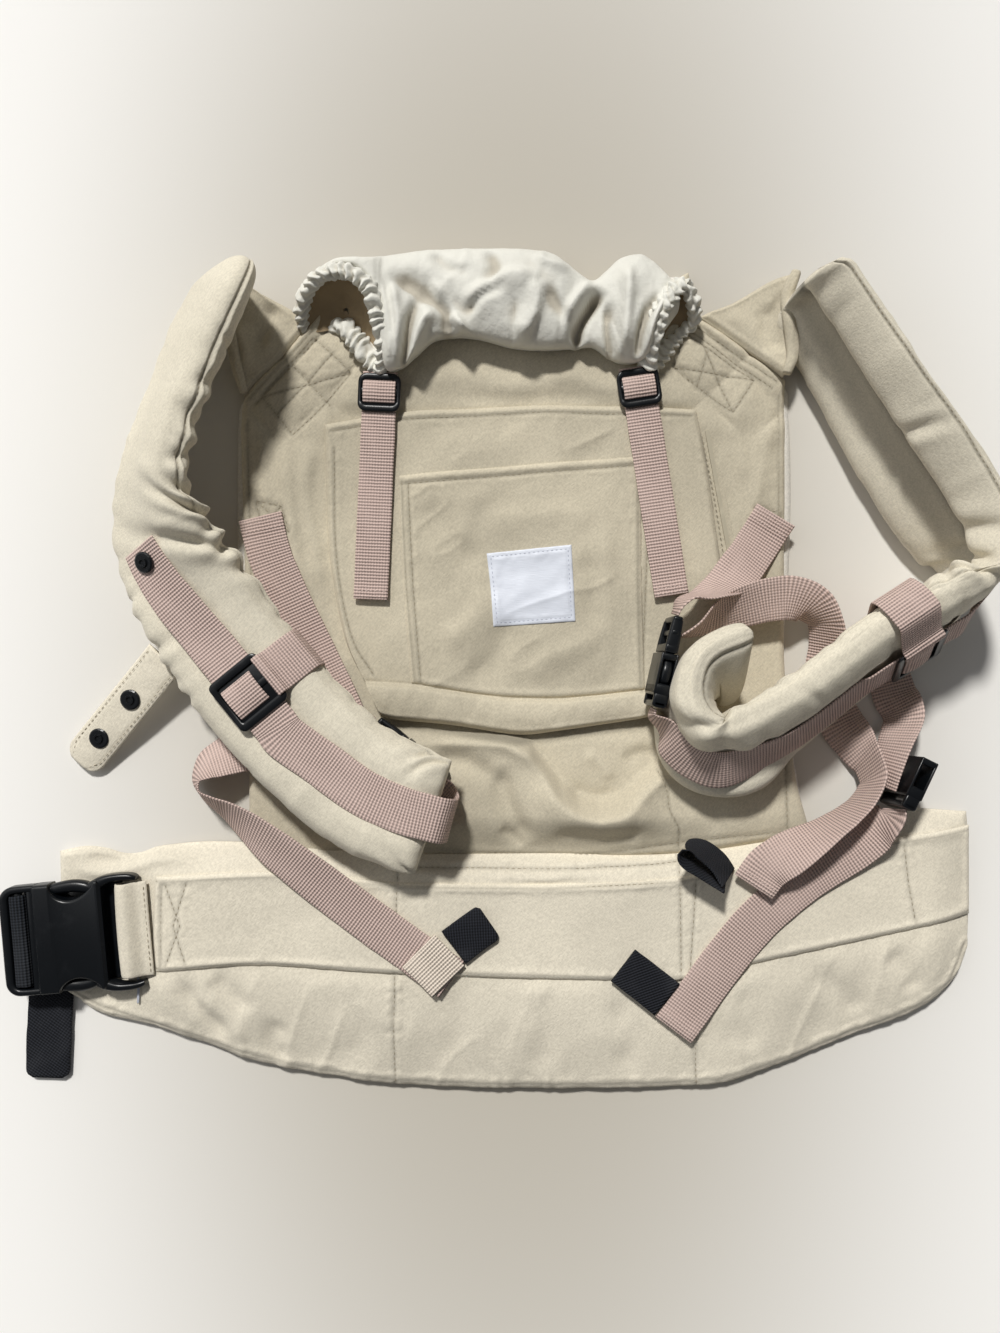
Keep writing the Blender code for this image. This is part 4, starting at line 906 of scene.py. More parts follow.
def body():
    bottom = ((-197, -139), (-120, -139), (-40, -140), (40, -141), (120, -139), (218, -124))
    right = ((218, -124), (206, -80), (203, -40), (199, 10), (199, 120), (199, 200), (196, 214),
             (170, 234), (140, 256), (131, 268), (128, 291))
    # the upper edge runs under the hood, up to where the hood is sewn in
    top = ((-140, 291), (-124, 290), (-98, 295), (-72, 299), (-30, 300), (10, 300), (26, 297),
           (40, 288), (52, 281), (62, 282), (74, 290), (88, 296), (98, 292), (112, 284), (128, 291))
    left = ((-197, -139), (-197, -60), (-199, 20), (-201, 120), (-202, 180), (-198, 200),
            (-176, 224), (-154, 250), (-146, 264), (-140, 291))
    x, y = patch(bottom, right, top, left, 236, 250)
    # painted shade in the gap under the pouch's gusset, fed in as the cloth's shade
    low = between(x, GUSSET_FOOT) - 2
    gap = smooth(low - 8, low - 3, y) * smooth(low + 10, low + 3, y) * smooth(-100, -86, x)
    cloth("body_shell", x, y, body_z(x, y), LINING_TOP + 0.35, CANVAS, 2.4, 2.8,
          seams=BODY_SEAMS, shade=1.6 * gap * smooth(122, 104, x), stands_for=("body_panel",))
    sew("body_stitching", [straight(line, body_z) for line in BODY_SEAMS])


def lining():
    bottom = ((-196, -130), (0, -131), (216, -118))
    top = ((-140, 290), (0, 284), (128, 290))
    left = ((-196, -130), (-198, 20), (-205, 60), (-206.5, 130), (-205, 188), (-198, 200),
            (-154, 250), (-141, 290))
    right = ((216, -118), (203, -40), (200, 20), (203, 60), (205, 130), (203, 188), (196, 212),
             (140, 254), (128, 290))
    x, y = patch(bottom, right, top, left, 90, 100)
    z = LINING_TOP + 0.2 * rumple(x, y, 40, 51)
    cloth("lining_sheet", x, y, np.minimum(z, LINING_TOP + 0.3), 0.05, LINING, 1.2, 0.6,
          stands_for=("body_lining",))


def wings():
    def left_z(x, y):
        out = smooth(-160, -218, x - 0.5 * (y - 250))
        return PANEL_LEVEL + 3.0 + 9.0 * out + 1.0 * rumple(x, y, 30, 61) + folds(x, y, (
            (((-206, 250), (-198, 236), (-197, 214)), 4.0, 6, 5),
            (((-178, 268), (-182, 250), (-192, 232)), -3.6, 6),
            (((-190, 262), (-180, 244), (-186, 224)), 2.0, 5)))

    x, y = patch(((-200, 199), (-176, 224), (-153, 252)),
                 ((-153, 252), (-164, 262), (-176, 268), (-189, 274)),
                 ((-218, 282), (-206, 284), (-196, 279), (-189, 274)),
                 ((-200, 199), (-206, 222), (-215, 250), (-218, 282)), 56, 60)
    cloth("wing_left", x, y, left_z(x, y), PANEL_LEVEL - 2.6, CANVAS, 2.2, 2.0,
          stands_for=("shoulder_wing_left",))

    def right_z(x, y):
        out = smooth(166, 202, x)
        return PANEL_LEVEL + 3.0 + 12.0 * out + 1.0 * rumple(x, y, 30, 63) + folds(x, y, (
            (((196, 276), (190, 256), (194, 226)), -3.0, 5, 4),
            (((186, 268), (184, 246), (190, 226)), -3.4, 6),
            (((150, 262), (174, 246), (192, 226)), 1.6, 6)))

    edge = ((196, 212), (200, 226), (199, 246), (197, 268), (203, 285))
    x, y = patch(((137, 258), (168, 236), (196, 212)), edge,
                 ((144, 262), (160, 268), (185, 281), (203, 285)),
                 ((137, 258), (139, 259.5), (141, 260.5), (144, 262)), 56, 56)
    cloth("wing_right", x, y, right_z(x, y), PANEL_LEVEL - 2.6, CANVAS, 2.2, 2.0,
          stands_for=("shoulder_wing_right",))
    rolled_edge("wing_right_roll", edge, right_z, 4.6, 67)
    rolled_edge("wing_left_roll", ((-199, 201), (-204, 222), (-207, 246), (-205, 266)), left_z,
                3.8, 68)


def rolled_edge(name, path, height, radius, seed):
    """The turned-in edge of a wing: a soft roll laid along it."""
    count = 70
    line = on_surface(path, height, count, radius * 0.45)
    tangent = unit(np.gradient(line, axis=0))
    across = unit(np.cross((0, 0, 1.0), tangent))
    theta = np.linspace(0, 2 * np.pi, 24, endpoint=False)
    run = np.linspace(0, length_of(line), count)
    size = radius * (1 + 0.16 * lattice_noise(run[:, None] / 13, theta[None] * 1.5, seed))
    size = size * (0.55 + 0.45 * np.sin(np.linspace(0.12, math.pi - 0.12, count)) ** 0.5)[:, None]
    rings = (line[:, None] + across[:, None] * (np.cos(theta) * size)[..., None]
             + np.array((0, 0, 1.0)) * (np.sin(theta) * size)[..., None])
    tube(name, rings, CANVAS)


POUCH_SEAMS = [
    ((-136, 172.5), (-85, 181.5), (25, 186.5), (129, 184)),
    route((-133, 160), (-131, 80), (-120, 22), (-104, -6)),
    route((137, 170), (147, 120), (158, 50), (164, 20)),
    ((93, -18), (95, 40), (98, 120)),
]
SLIP_SEAMS = [
    ((-84, 133.5), (-40, 137.5), (0, 140.5), (50, 144.5), (90, 147.5)),
    ((-83.2, 136), (-80, 60), (-73.6, -10)),
    ((-78.5, 134), (-75, 60), (-69, -12)),
    ((89.4, 146), (89.8, 60), (91.6, -14)),
]
LABEL_SEAMS = [((-18, 80.5), (38.4, 86), (41, 36), (-13.2, 32), (-18, 80.5))]


def tag_z(x, y):
    return slip_z(x, y) + 0.95 + 0.3 * rumple(x, y, 24, 71)


ZIP_W = 11.0
ZIP_LINE = ((141.0, 176.0), (171.0, 12.0))


def zip_cloth():
    """The zip's tape, standing just proud of the base it is sewn to."""
    low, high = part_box("zip_tape")
    head, foot = ZIP_LINE
    rows = [(*(np.array(foot) + (np.array(head) - np.array(foot)) * f), high[2] / MM - 0.1, 0)
            for f in (0, 0.25, 0.5, 0.75, 1.0)]
    flat_strap("zip_tape_cloth", rows, ZIP_W - 0.6, CANVAS, ply=(high[2] - low[2]) / MM - 0.3,
               wander=0.0, stands_for=("zip_tape",))


def pouch():
    bottom = ((-100, -30), (-93, -38), (-46, -43), (1, -50), (33, -47), (93, -38), (118, -30))
    right = ((118, -30), (146, -10), (160, 8), (155, 50), (148, 100), (141, 150), (133, 189))
    top = ((-140, 178), (-85, 187), (-30, 190), (25, 192), (90, 191), (133, 189))
    left = ((-100, -30), (-108, -15), (-125, 20), (-136, 78), (-139, 130), (-140, 178))
    x, y = patch(bottom, right, top, left, 220, 190)
    cloth("pouch", x, y, pouch_z(x, y), PANEL_LEVEL - 0.9, CANVAS, 2.0, 2.4,
          seams=POUCH_SEAMS, stands_for=("zip_pocket",))
    sew("pouch_stitching", [straight(line, pouch_z) for line in POUCH_SEAMS])
    x, y = patch(((-76, -12), (-30, -20), (10, -23), (50, -22), (95, -17)),
                 ((95, -17), (93, 60), (92, 154)),
                 ((-86, 140), (-40, 144), (0, 147), (50, 151), (92, 154)),
                 ((-76, -12), (-82, 60), (-86, 140)), 150, 140)
    cloth("slip_pocket_cloth", x, y, slip_z(x, y), pouch_z(x, y) - 0.9, CANVAS, 1.3, 1.2,
          seams=SLIP_SEAMS, pucker=0.3, stands_for=("slip_pocket",))
    sew("slip_pocket_stitching", [straight(line, slip_z) for line in SLIP_SEAMS])
    x, y = patch(((-16, 29), (14, 31), (44, 33)), ((44, 33), (42.6, 60), (41, 89)),
                 ((-21, 83), (10, 86), (41, 89)), ((-16, 29), (-18, 56), (-21, 83)), 70, 64)
    cloth("label_cloth", x, y, tag_z(x, y), slip_z(x, y) - 0.2, SATIN, 1.2, 0.7,
          seams=LABEL_SEAMS, pucker=0.2, hem=0.2, stands_for=("pocket_label",))
    sew("label_stitching", [straight(line, tag_z, 2.0) for line in LABEL_SEAMS],
        WHITE_THREAD, length=1.8, gap=1.5, thick=0.55, lift=-0.15)


# ---------------------------------------------------------------------------
# waist belt
# ---------------------------------------------------------------------------
BELT_TOP = ((-337, -136.5), (-319, -133.0), (-304, -134.0), (-290, -138.0), (-277, -137.5),
            (-258, -132.0), (-207, -129.5), (-84, -137.8), (26, -138.0), (121, -138.0),
            (226, -122.0), (285, -106.0), (334, -107.0))
BELT_FOOT = ((-337, -238.0), (-326, -243.0), (-314, -252.5), (-299, -258.5), (-283, -261.5),
             (-262, -266.0), (-240, -274.0), (-222, -280.0), (-182, -293.0), (-88, -308.0),
             (26, -311.0), (133, -309.0), (181, -298.0), (248, -272.0), (300, -250.0),
             (326, -228.0), (334, -206.0))
BAND_TOP = ((-262, -153.0), (-174, -149.0), (-84, -156.6), (25, -158.0), (119, -153.0),
            (221, -132.7), (333, -116.0))
BAND_FOOT = ((-262, -222.6), (-185, -217.0), (-86, -223.0), (72, -228.0), (127, -227.0),
             (177, -215.0), (333, -181.0))
BAND_LEVEL = top_of("waist_belt_cover")
BELT_BASE = foot_of("waist_belt_cover")


# pulls that run down from the band to the foot of the belt, then those at its buckle end
BELT_FOLDS = (
    (((-246, -226), (-232, -246), (-206, -272)), -3.6, 7),
    (((-222, -224), (-200, -244), (-190, -252)), -3.2, 8),
    (((-170, -256), (-178, -276), (-166, -292)), -3.0, 8),
    (((-128, -232), (-112, -262), (-118, -296)), -1.8, 10),
    (((-60, -236), (-40, -262), (-52, -296)), -1.6, 12),
    (((8, -236), (24, -262), (20, -298)), -1.6, 12),
    (((70, -240), (84, -268), (76, -300)), -2.0, 9),
    (((160, -232), (172, -256), (168, -284)), -2.0, 9),
    (((214, -222), (236, -236), (252, -256)), -2.6, 9),
    (((270, -206), (282, -220), (292, -240)), -2.6, 8),
    (((-235, -236), (-212, -258), (-196, -276)), 1.8, 6),
    (((-330, -146), (-300, -152), (-262, -141), (-228, -141)), 3.0, 5),
    (((-318, -139), (-288, -143), (-262, -134)), -2.6, 5),
)


def belt_z(x, y):
    """Top of the padded belt."""
    high, low = between(x, BAND_TOP), between(x, BAND_FOOT)
    top, foot = between(x, BELT_TOP), between(x, BELT_FOOT)
    core = smooth(-300, -240, x) * smooth(340, 300, x)
    full = BELT_BASE + 5.0 + (BAND_LEVEL - BELT_BASE - 6.2) * core
    edge = BELT_BASE + 4.2 + 2.0 * core
    upper = smooth(0, 1, (top - y) / np.maximum(top - high + 3, 1))
    lower = smooth(0, 1, (y - foot) / np.maximum((low - foot) * 0.8, 1)) ** 0.6
    z = edge + (full - edge) * np.minimum(upper, lower)
    out = smooth(low + 2, low - 12, y) * core
    z = z + out * (1.0 * rumple(x, y, 60, 81) + 1.1 * pull(x, y, 30, 83, 72, 2.6)
                   + 0.9 * rumple(x, y, 26, 85, 78, 2.8, 2))
    return z + folds(x, y, BELT_FOLDS)


def gathered(x, y):
    """Small pleats in the strip between the body and the band."""
    top = between(x, BAND_TOP)
    strip = smooth(top + 0.5, top + 3, y) * smooth(top + 17, top + 12, y)
    crush = rumple(x, y, 14, 91, 4, 3.6) * 1.5 + pull(x, y, 26, 93, 3, 3.4) * 2.0
    return strip * crush * smooth(-104, -70, x) * smooth(136, 112, x)


def band_z(x, y):
    core = smooth(-300, -240, x) * smooth(345, 300, x)
    z = BELT_BASE + 7.5 + (BAND_LEVEL - BELT_BASE - 6.2) * core
    return z + 0.4 * rumple(x, y, 60, 95) + 0.22 * rumple(x, y, 20, 97, 25, 1.6)


def belt_surface(x, y):
    return belt_z(x, y) + gathered(x, y)


BAND_SEAMS = [
    [(px, py - 3.0) for px, py in BAND_TOP], [(px, py + 3.0) for px, py in BAND_FOOT],
    ((-257, -157), (-257.6, -219)),
    ((-254.5, -157), (-243, -188), (-254.5, -219)), ((-238, -156), (-248, -188), (-238, -219)),
    ((-86, -157.5), (-87.5, -222)), ((119, -154), (120, -226)), ((131, -152), (126, -226)),
    ((281, -127), (285, -160), (290, -187)),
]
BELT_SEAMS = [
    ((-87.5, -224), (-88.5, -266), (-88, -306)), ((125, -229), (131, -268), (133, -307)),
    ((119, -138), (119.5, -152)), ((-86, -140), (-86, -156)),
    route((-84, -146.5), (-20, -147.5), (40, -147.5), (90, -145.5), (119, -143)),
    route((-331, -236), (-312, -248), (-283, -257), (-240, -269), (-182, -288), (-88, -303.5),
          (26, -306.5), (133, -304.5), (181, -293.5), (248, -268), (300, -246), (324, -226),
          (330, -204)),
]


def belt():
    x, y = patch(BELT_FOOT, ((334, -206), (335, -180), (335, -140), (334, -107)), BELT_TOP,
                 ((-337, -238), (-336, -200), (-336, -160), (-337, -136.5)), 400, 116)
    made = cloth("belt_padding", x, y, belt_surface(x, y), BELT_BASE, CANVAS_PALE, 3.6, 3.6,
                 seams=BELT_SEAMS, pucker=0.8,
                 stands_for=("waist_belt_cover", "waist_belt_foam"))
    sew("belt_seam_stitching", [straight(line, belt_surface) for line in BELT_SEAMS[:5]])
    x, y = patch(BAND_FOOT, ((333, -181), (333, -150), (333, -116)), BAND_TOP,
                 ((-262, -222.6), (-264, -190), (-262, -153)), 400, 60)
    cloth("belt_band", x, y, band_z(x, y), BAND_LEVEL - 3.5, CANVAS_PALE, 1.5, 2.0,
          seams=BAND_SEAMS, hem=1.1, stands_for=("waist_belt_band",))
    sew("belt_stitching", [straight(line, band_z) for line in BAND_SEAMS])


# ---------------------------------------------------------------------------
# straps
# ---------------------------------------------------------------------------
PLY = 1.5


def strap(name, middles, sides, width, look, step=2.0, ply=PLY, cup=0.0, hems=(0.0, 0.0),
          wander=0.25, seed=5, rounded=0.0, **others):
    """Webbing through middles, its across direction given at each.

    hems double its ends, and rounded is the corner radius of its last end."""
    rows = np.hstack([np.asarray(middles, float), np.asarray(sides, float)])
    span = length_of(curve(rows, 80)[:, :3])
    count = max(12, int(span / step))
    rows = curve(rows, count)
    path = rows[:, :3]
    tangent = unit(np.gradient(path, axis=0))
    side = rows[:, 3:6]
    side = unit(side - tangent * (side * tangent).sum(axis=1, keepdims=True))
    up = np.cross(tangent, side)
    run = np.linspace(0, span, count)
    share = np.array((-1, -0.985, -0.93, -0.6, -0.2, 0.2, 0.6, 0.93, 0.985, 1.0))
    thin = np.array((0.25, 0.7, 1.0, 1, 1, 1, 1, 1.0, 0.7, 0.25))
    fat = np.full(count, ply)
    for which, hem in enumerate(hems):
        if hem:
            from_end = run if which == 0 else span - run
            fat = fat + ply * 0.9 * smooth(hem + 0.8, hem - 0.8, from_end)
    wide = width / 2 * (1 + 0.012 * lattice_noise(run / 9.0, run * 0 + seed, seed))
    if rounded:
        wide = wide - rounded * (1 - np.sqrt(1 - np.clip(1 - (span - run) / rounded, 0, 0.98) ** 2))
    v = share[None, :] * wide[:, None]
    sag = cup * (share ** 2)[None, :] + wander * lattice_noise(run[:, None] / 22.0 + seed,
                                                              v / 16.0, seed)
    upper = (path[:, None] + side[:, None] * v[..., None]
             + up[:, None] * (sag + fat[:, None] / 2 * thin[None])[..., None])
    lower = (path[:, None] + side[:, None] * v[..., None]
             + up[:, None] * (sag - fat[:, None] / 2 * thin[None])[..., None])
    rings = np.concatenate([upper, lower[:, ::-1]], axis=1)
    uv = np.stack([np.broadcast_to(run[:, None], (count, 20)),
                   np.concatenate([v, v[:, ::-1]], axis=1)], axis=2).reshape(-1, 2)
    rows_of_thread = []
    for which, hem in enumerate(hems):
        for inset in (2.2, hem - 1.6) if hem and look is PINK_TAPE else ():
            k = int(np.searchsorted(run, inset if which == 0 else span - inset))
            top = up[k] * math.copysign(fat[k] / 2 + 0.15, up[k][2])
            rows_of_thread.append([path[k] + side[k] * f * width / 2 + top
                                   for f in np.linspace(-0.88, 0.88, 14)])
    if rows_of_thread:
        sew(name + "_hem", rows_of_thread, PINK_THREAD, others.get("body", ROOT), length=1.9,
            gap=1.1, thick=0.6, lift=-0.1)
    return tube(name, rings[:, ::-1], look, uv, **others)


def lifted(route, height, width):
    """The same route, raised wherever the cloth below would stand above it."""
    rows, clear = [], 1.3
    for (x, y, *rest), (px, py), (nx, ny) in zip(
            route, [route[0][:2]] + [r[:2] for r in route[:-1]],
            [r[:2] for r in route[1:]] + [route[-1][:2]]):
        side = unit(np.array((py - ny, nx - px), float)) * width / 2
        high = max(float(height(np.array([x + side[0] * f]), np.array([y + side[1] * f]))[0])
                   for f in (-1, -0.5, 0, 0.5, 1))
        rows.append((x, y, max(rest[0], high + clear), *rest[1:]))
    return rows


def flat_strap(name, route, width, look, **others):
    """Webbing through rows of x, y, z and roll; roll 0 lies flat, 90 stands on edge."""
    fine = curve(route, 60)
    _, across, _ = frames(fine[:, :3], fine[:, 3])
    keep = np.linspace(0, 59, max(len(route) * 3, 12)).astype(int)
    return strap(name, fine[keep, :3], across[keep], width, look, **others)


# ---------------------------------------------------------------------------
# shoulder pads
# ---------------------------------------------------------------------------
PAD_W = 88.0
PAD_T = 28.0
PAD_AROUND = 84        # points round a pad's section
PAD_STEPS = 20         # sections between two rows of a pad's route
# x, y, z and roll of a pad's middle, then its width as a share of the full width
PAD_LEFT = ((-199, 284, 36.8, 53, 0.9), (-211, 257, 44, 53, 1), (-229, 216, 44, 53, 1),
            (-246, 167, 44, 53, 1), (-255, 125, 43, 48, 1), (-247, 85, 39, 28, 1),
            (-226, 45, 35, 8, 1), (-193, -2, 33, 0, 1), (-160, -40, 35, 0, 1),
            (-120, -77, 40, 0, 1), (-85, -97, 44, 0, 1), (-58, -106, 47, 0, 0.97))
PAD_RIGHT = ((202, 268, 45.8, 80, 0.93), (245, 197, 46, 76, 1), (279, 143, 46, 70, 1),
             (308, 98, 46, 74, 1), (319, 72, 46, 90, 1), (301, 47, 46, 108, 1),
             (256, 17, 47, 119, 0.97), (221, -10, 49, 121, 0.95), (185, -36, 50, 124, 0.94),
             (150, -51, 51, 126, 0.93), (127, -46, 51, 112, 0.92), (119, -22, 51, 94, 0.92),
             (131, -1, 51, 78, 0.92), (159, 5, 51, 66, 0.95))


def on_pad(route, at, lift, shift=0.0):
    """Point on a pad with its across, up and running directions; at counts the route's rows."""
    rows = spline(route, 2)
    _, across, up = frames(rows[:, :3], rows[:, 3])
    place = at * 2
    k = min(int(place), len(rows) - 2)
    t = place - k
    m = rows[k, :3] * (1 - t) + rows[k + 1, :3] * t
    a = unit(across[k] * (1 - t) + across[k + 1] * t)
    u = unit(up[k] * (1 - t) + up[k + 1] * t)
    return m + u * lift + a * shift, a, u, unit(rows[k + 1, :3] - rows[k, :3])


def puffs(seed, start, end, step, middle, spread, depth):
    """Small creases across a pad at uneven steps: place, size, depth, angle, spread, slant."""
    random = np.random.RandomState(seed)
    made, at = [], start
    while at < end:
        made.append((at, 2.4 + 2.2 * random.rand(), depth * (0.35 + 0.9 * random.rand()),
                     middle + spread * (random.rand() - 0.5), 20 + 24 * random.rand(),
                     16 * (random.rand() - 0.5)))
        at += step * (0.55 + 0.9 * random.rand())
    return tuple(made)


# the section of the opened upper limb: angle, then shares of half its width and thickness
TROUGH = ((0, 1.0, -0.62), (12, 0.97, -0.40), (30, 0.82, 0.02), (48, 0.58, 0.44), (64, 0.36, 0.68),
          (74, 0.26, 0.58), (82, 0.20, 0.08), (92, 0.06, 0.04), (104, -0.18, 0.10),
          (114, -0.38, 0.22), (124, -0.50, 0.46), (134, -0.63, 0.76), (145, -0.78, 0.98),
          (156, -0.90, 1.0), (167, -1.0, 0.80), (180, -1.03, 0.1), (195, -1.0, -0.6),
          (215, -0.8, -0.97), (250, -0.35, -1.02), (290, 0.35, -1.02), (325, 0.8, -1.0),
          (350, 0.97, -0.86))
# the section of the limb that lies on its side, its underneath showing below the strap
BELLY = ((0, 1.0, 0.0), (30, 0.8, 0.5), (60, 0.42, 0.9), (90, 0.0, 1.0), (120, -0.45, 1.0),
         (150, -0.85, 0.85), (180, -1.05, -0.3), (200, -1.0, -1.3), (220, -0.85, -1.7),
         (240, -0.62, -1.65), (252, -0.5, -1.2), (262, -0.42, -1.0), (270, 0.0, -1.0),
         (300, 0.45, -1.0), (325, 0.8, -0.95), (350, 0.97, -0.4))
# the section where the pad curls over: a slope that falls from its sewn edge
SLOPE = ((0, 1.0, -0.40), (14, 0.95, -0.05), (30, 0.80, 0.40), (60, 0.42, 0.95), (90, 0.0, 1.40),
         (120, -0.45, 1.75), (150, -0.85, 1.65), (180, -1.03, 0.2), (210, -0.85, -0.95),
         (250, -0.35, -1.02), (290, 0.35, -1.02), (325, 0.8, -0.98), (350, 0.97, -0.75))


def section(theta, table):
    """A section's two shares at each angle, its corners rounded."""
    degrees = np.degrees(theta)
    keys = [row[0] for row in table]
    return [sum(np.interp(degrees + d, keys, [row[i] for row in table], period=360)
                for d in (-7, -3.5, 0, 3.5, 7)) / 5 for i in (1, 2)]


def skin_angles(around):
    """Angles round a pad's section, closer together along its two edges."""
    turn = 2 * np.pi * np.arange(around) / around
    return turn - 0.72 * np.sin(turn)


def within_bend(offset, bend):
    """The same offsets, those on the inside of a tight bend drawn in so they don't cross."""
    tight = np.linalg.norm(bend)
    if tight < 1e-6:
        return offset
    inward, room = bend / tight, 0.9 / tight
    reach = offset @ inward
    past = np.maximum(reach - 0.6 * room, 0.0)
    held = 0.6 * room + 0.4 * room * np.tanh(past / (0.4 * room))
    return offset + np.where(past > 0, held - reach, 0.0)[:, None] * inward


def pad_rings(route, seed, creases, opened=(), pressed=(), taper=(26.0, 10.0),
              seam_at=((0, 0.0), (1, 0.0))):
    """Rings of a padded sleeve: crowned, creased where it bends, swollen beside its strap.

    opened: rows (section table, start, full, fading, end) along the run, in millimetres.
    pressed: the side the strap lies on and its table of shifts."""
    rows = spline(route, PAD_STEPS)
    path = rows[:, :3]
    _, across, up = frames(path, rows[:, 3])
    run = running(path)
    span = run[-1]
    bends = np.gradient(unit(np.gradient(path, axis=0)), axis=0) / np.gradient(run)[:, None]
    theta = skin_angles(PAD_AROUND)
    c, s = np.cos(theta), np.sin(theta)
    signed = (theta + math.pi) % (2 * math.pi) - math.pi
    outward = unit(np.stack([c * 0.6, s], axis=1))
    rings, marks = [], []
    for k, (m, a, u) in enumerate(zip(path, across, up)):
        at = k / PAD_STEPS
        off_seam = signed - math.radians(between(at, seam_at))
        seam = np.exp(-(off_seam / 0.05) ** 2)
        piping = np.exp(-((off_seam + 0.13) / 0.07) ** 2)
        start = math.sqrt(max(0.02, 1 - max(0.0, 1 - run[k] / taper[0]) ** 2))
        end = math.sqrt(max(0.02, 1 - max(0.0, 1 - (span - run[k]) / taper[1]) ** 2))
        wide = PAD_W * rows[k, 4] / 2 * (0.45 + 0.55 * start) * (0.94 + 0.06 * end)
        thick = PAD_T / 2 * (0.3 + 0.7 * start) * (0.2 + 0.8 * end)
        wa = np.sign(c) * np.abs(c) ** 0.66 * wide
        wb = np.sign(s) * np.abs(s) ** 0.84 * thick
        for table, first, full, fading, last in opened:
            share = float(smooth(first, full, run[k]) * (1 - smooth(fading, last, run[k])))
            if share > 0:
                ta, tb = section(theta, table)
                wa = wa * (1 - share) + share * ta * wide
                wb = wb * (1 - share) + share * tb * thick
        ripple = (1.0 * rumple(run[k] + 0 * theta, theta * 26, 34, seed, 90, 2.4)
                  + 0.5 * pull(run[k] + 0 * theta, theta * 22, 26, seed + 7, 90, 2.6) - 0.2)
        for where, size, depth, middle, spread, slant in creases:
            far = (theta - math.radians(middle) + math.pi) % (2 * math.pi) - math.pi
            d = (run[k] - where - slant * far) / size
            cut = np.exp(-d ** 2) - 0.42 * np.exp(-((np.abs(d) - 2.3) / 1.3) ** 2)
            ripple = ripple - depth * cut * np.exp(-(far / math.radians(spread)) ** 2)
        if pressed:
            face, shift = pressed
            beside = np.abs(wa - between(at, shift))
            swell = smooth(15, 21, beside) * smooth(44, 34, np.abs(wa)) * smooth(0.2, 0.7, s * face)
            ripple = ripple + 2.4 * swell * smooth(80, 130, run[k])
        ripple = ripple - 1.3 * seam + 0.8 * piping
        offset = (a * (wa + outward[:, 0] * ripple)[:, None]
                  + u * (wb + outward[:, 1] * ripple)[:, None])
        rings.append(m + within_bend(offset, bends[k]))
        # painted shade along the pad's sunk seam
        marks.append(seam * 1.1)
    return np.array(rings), np.array(marks), run


def seam_on_pad(rings, column, start, end):
    """Points along one column of a pad's rings, a little off its skin."""
    line, lift = rings[:, column % PAD_AROUND], 0.35
    return (line + unit(line - rings.mean(axis=1)) * lift)[start:end]


def pad_piece(name, nodes, rings, marks, look, seams, hollow=(0.0, 0.0)):
    made = tube(name, rings[:, ::-1], look, marks=marks[:, ::-1], hollow=hollow,
                stands_for=nodes)
    sew(name + "_stitching", [seam_on_pad(rings, *where) for where in seams], length=2.8, gap=1.6)


STRAP_W = 32.0
GAP = 0.35             # between a pad's cover and the webbing that lies on it
HALF_PLY = 0.7         # from that gap to the webbing's middle
FACE = PAD_T / 2 + GAP + HALF_PLY
BRIDGE = FACE + 4.0    # where the webbing passes over the bar of its slider
LEFT_SHIFT = ((5.0, -8.0), (11.0, 2.0))
RIGHT_SHIFT = ((4.0, -4.0), (6.4, -6.0), (8.2, -7.0), (9.4, -6.0), (10.2, -4.0))
LEFT_SLIDER_AT = 7.35
RIGHT_SLIDER_AT = 5.75
SLIDER_L = 41.0


def placer(middle, heading, up):
    """A function from local millimetres (along, across, up) to the world."""
    middle, heading = np.array(middle, float), unit(np.array(heading, float))
    up = np.array(up, float)
    up = unit(up - heading * up.dot(heading))
    across = np.cross(up, heading)
    return lambda x, y, z: middle + heading * x + across * y + up * z


LEFT_BUCKLE = placer((-90.0, -68.0, 18.4), (0.76, -0.65, 0.0), (0, 0, 1))
RIGHT_BUCKLE = placer((105.0, 9.0, 46.0), (-0.22, -0.975, 0.0), (-0.975, 0.22, 0.0))
CHEST_BUCKLE = placer((288.0, -66.0, 30.0), (-0.44, -0.89, 0.05), (-0.9, 0.44, 0.0))
FEMALE_L = 38.0
MALE_L = 26.0
WAIST_Z = 18.5
WAIST_BUCKLE = placer((-344.5, -197.5, WAIST_Z), (0.996, 0.09, 0.0), (0, 0, 1))


def pad_strip(name, route, face, marks, shift, ending, slider_at, node):
    """Webbing along a pad, level through its slider, then on to its ending.

    marks are places on the pad, each with its lift as a share of the face's."""
    middles, sides = [], []
    centre, side, _, heading = on_pad(route, slider_at, math.copysign(BRIDGE, face),
                                      between(slider_at, shift))
    passing = [(centre + heading * SLIDER_L * share, side)
               for share in (-1.0, -0.7, -0.35, 0, 0.35, 0.7, 1.0)]
    for at, lift in marks:
        if at > slider_at and passing:
            middles += [row[0] for row in passing]
            sides += [row[1] for row in passing]
            passing = []
        m, a, _, _ = on_pad(route, at, face * lift, between(at, shift))
        middles.append(m)
        sides.append(a)
    for point, side in ending:
        middles.append(np.array(point, float))
        sides.append(unit(np.array(side, float)))
    strap(name, middles, sides, STRAP_W, PINK_TAPE, stands_for=(node,), wander=0.12)


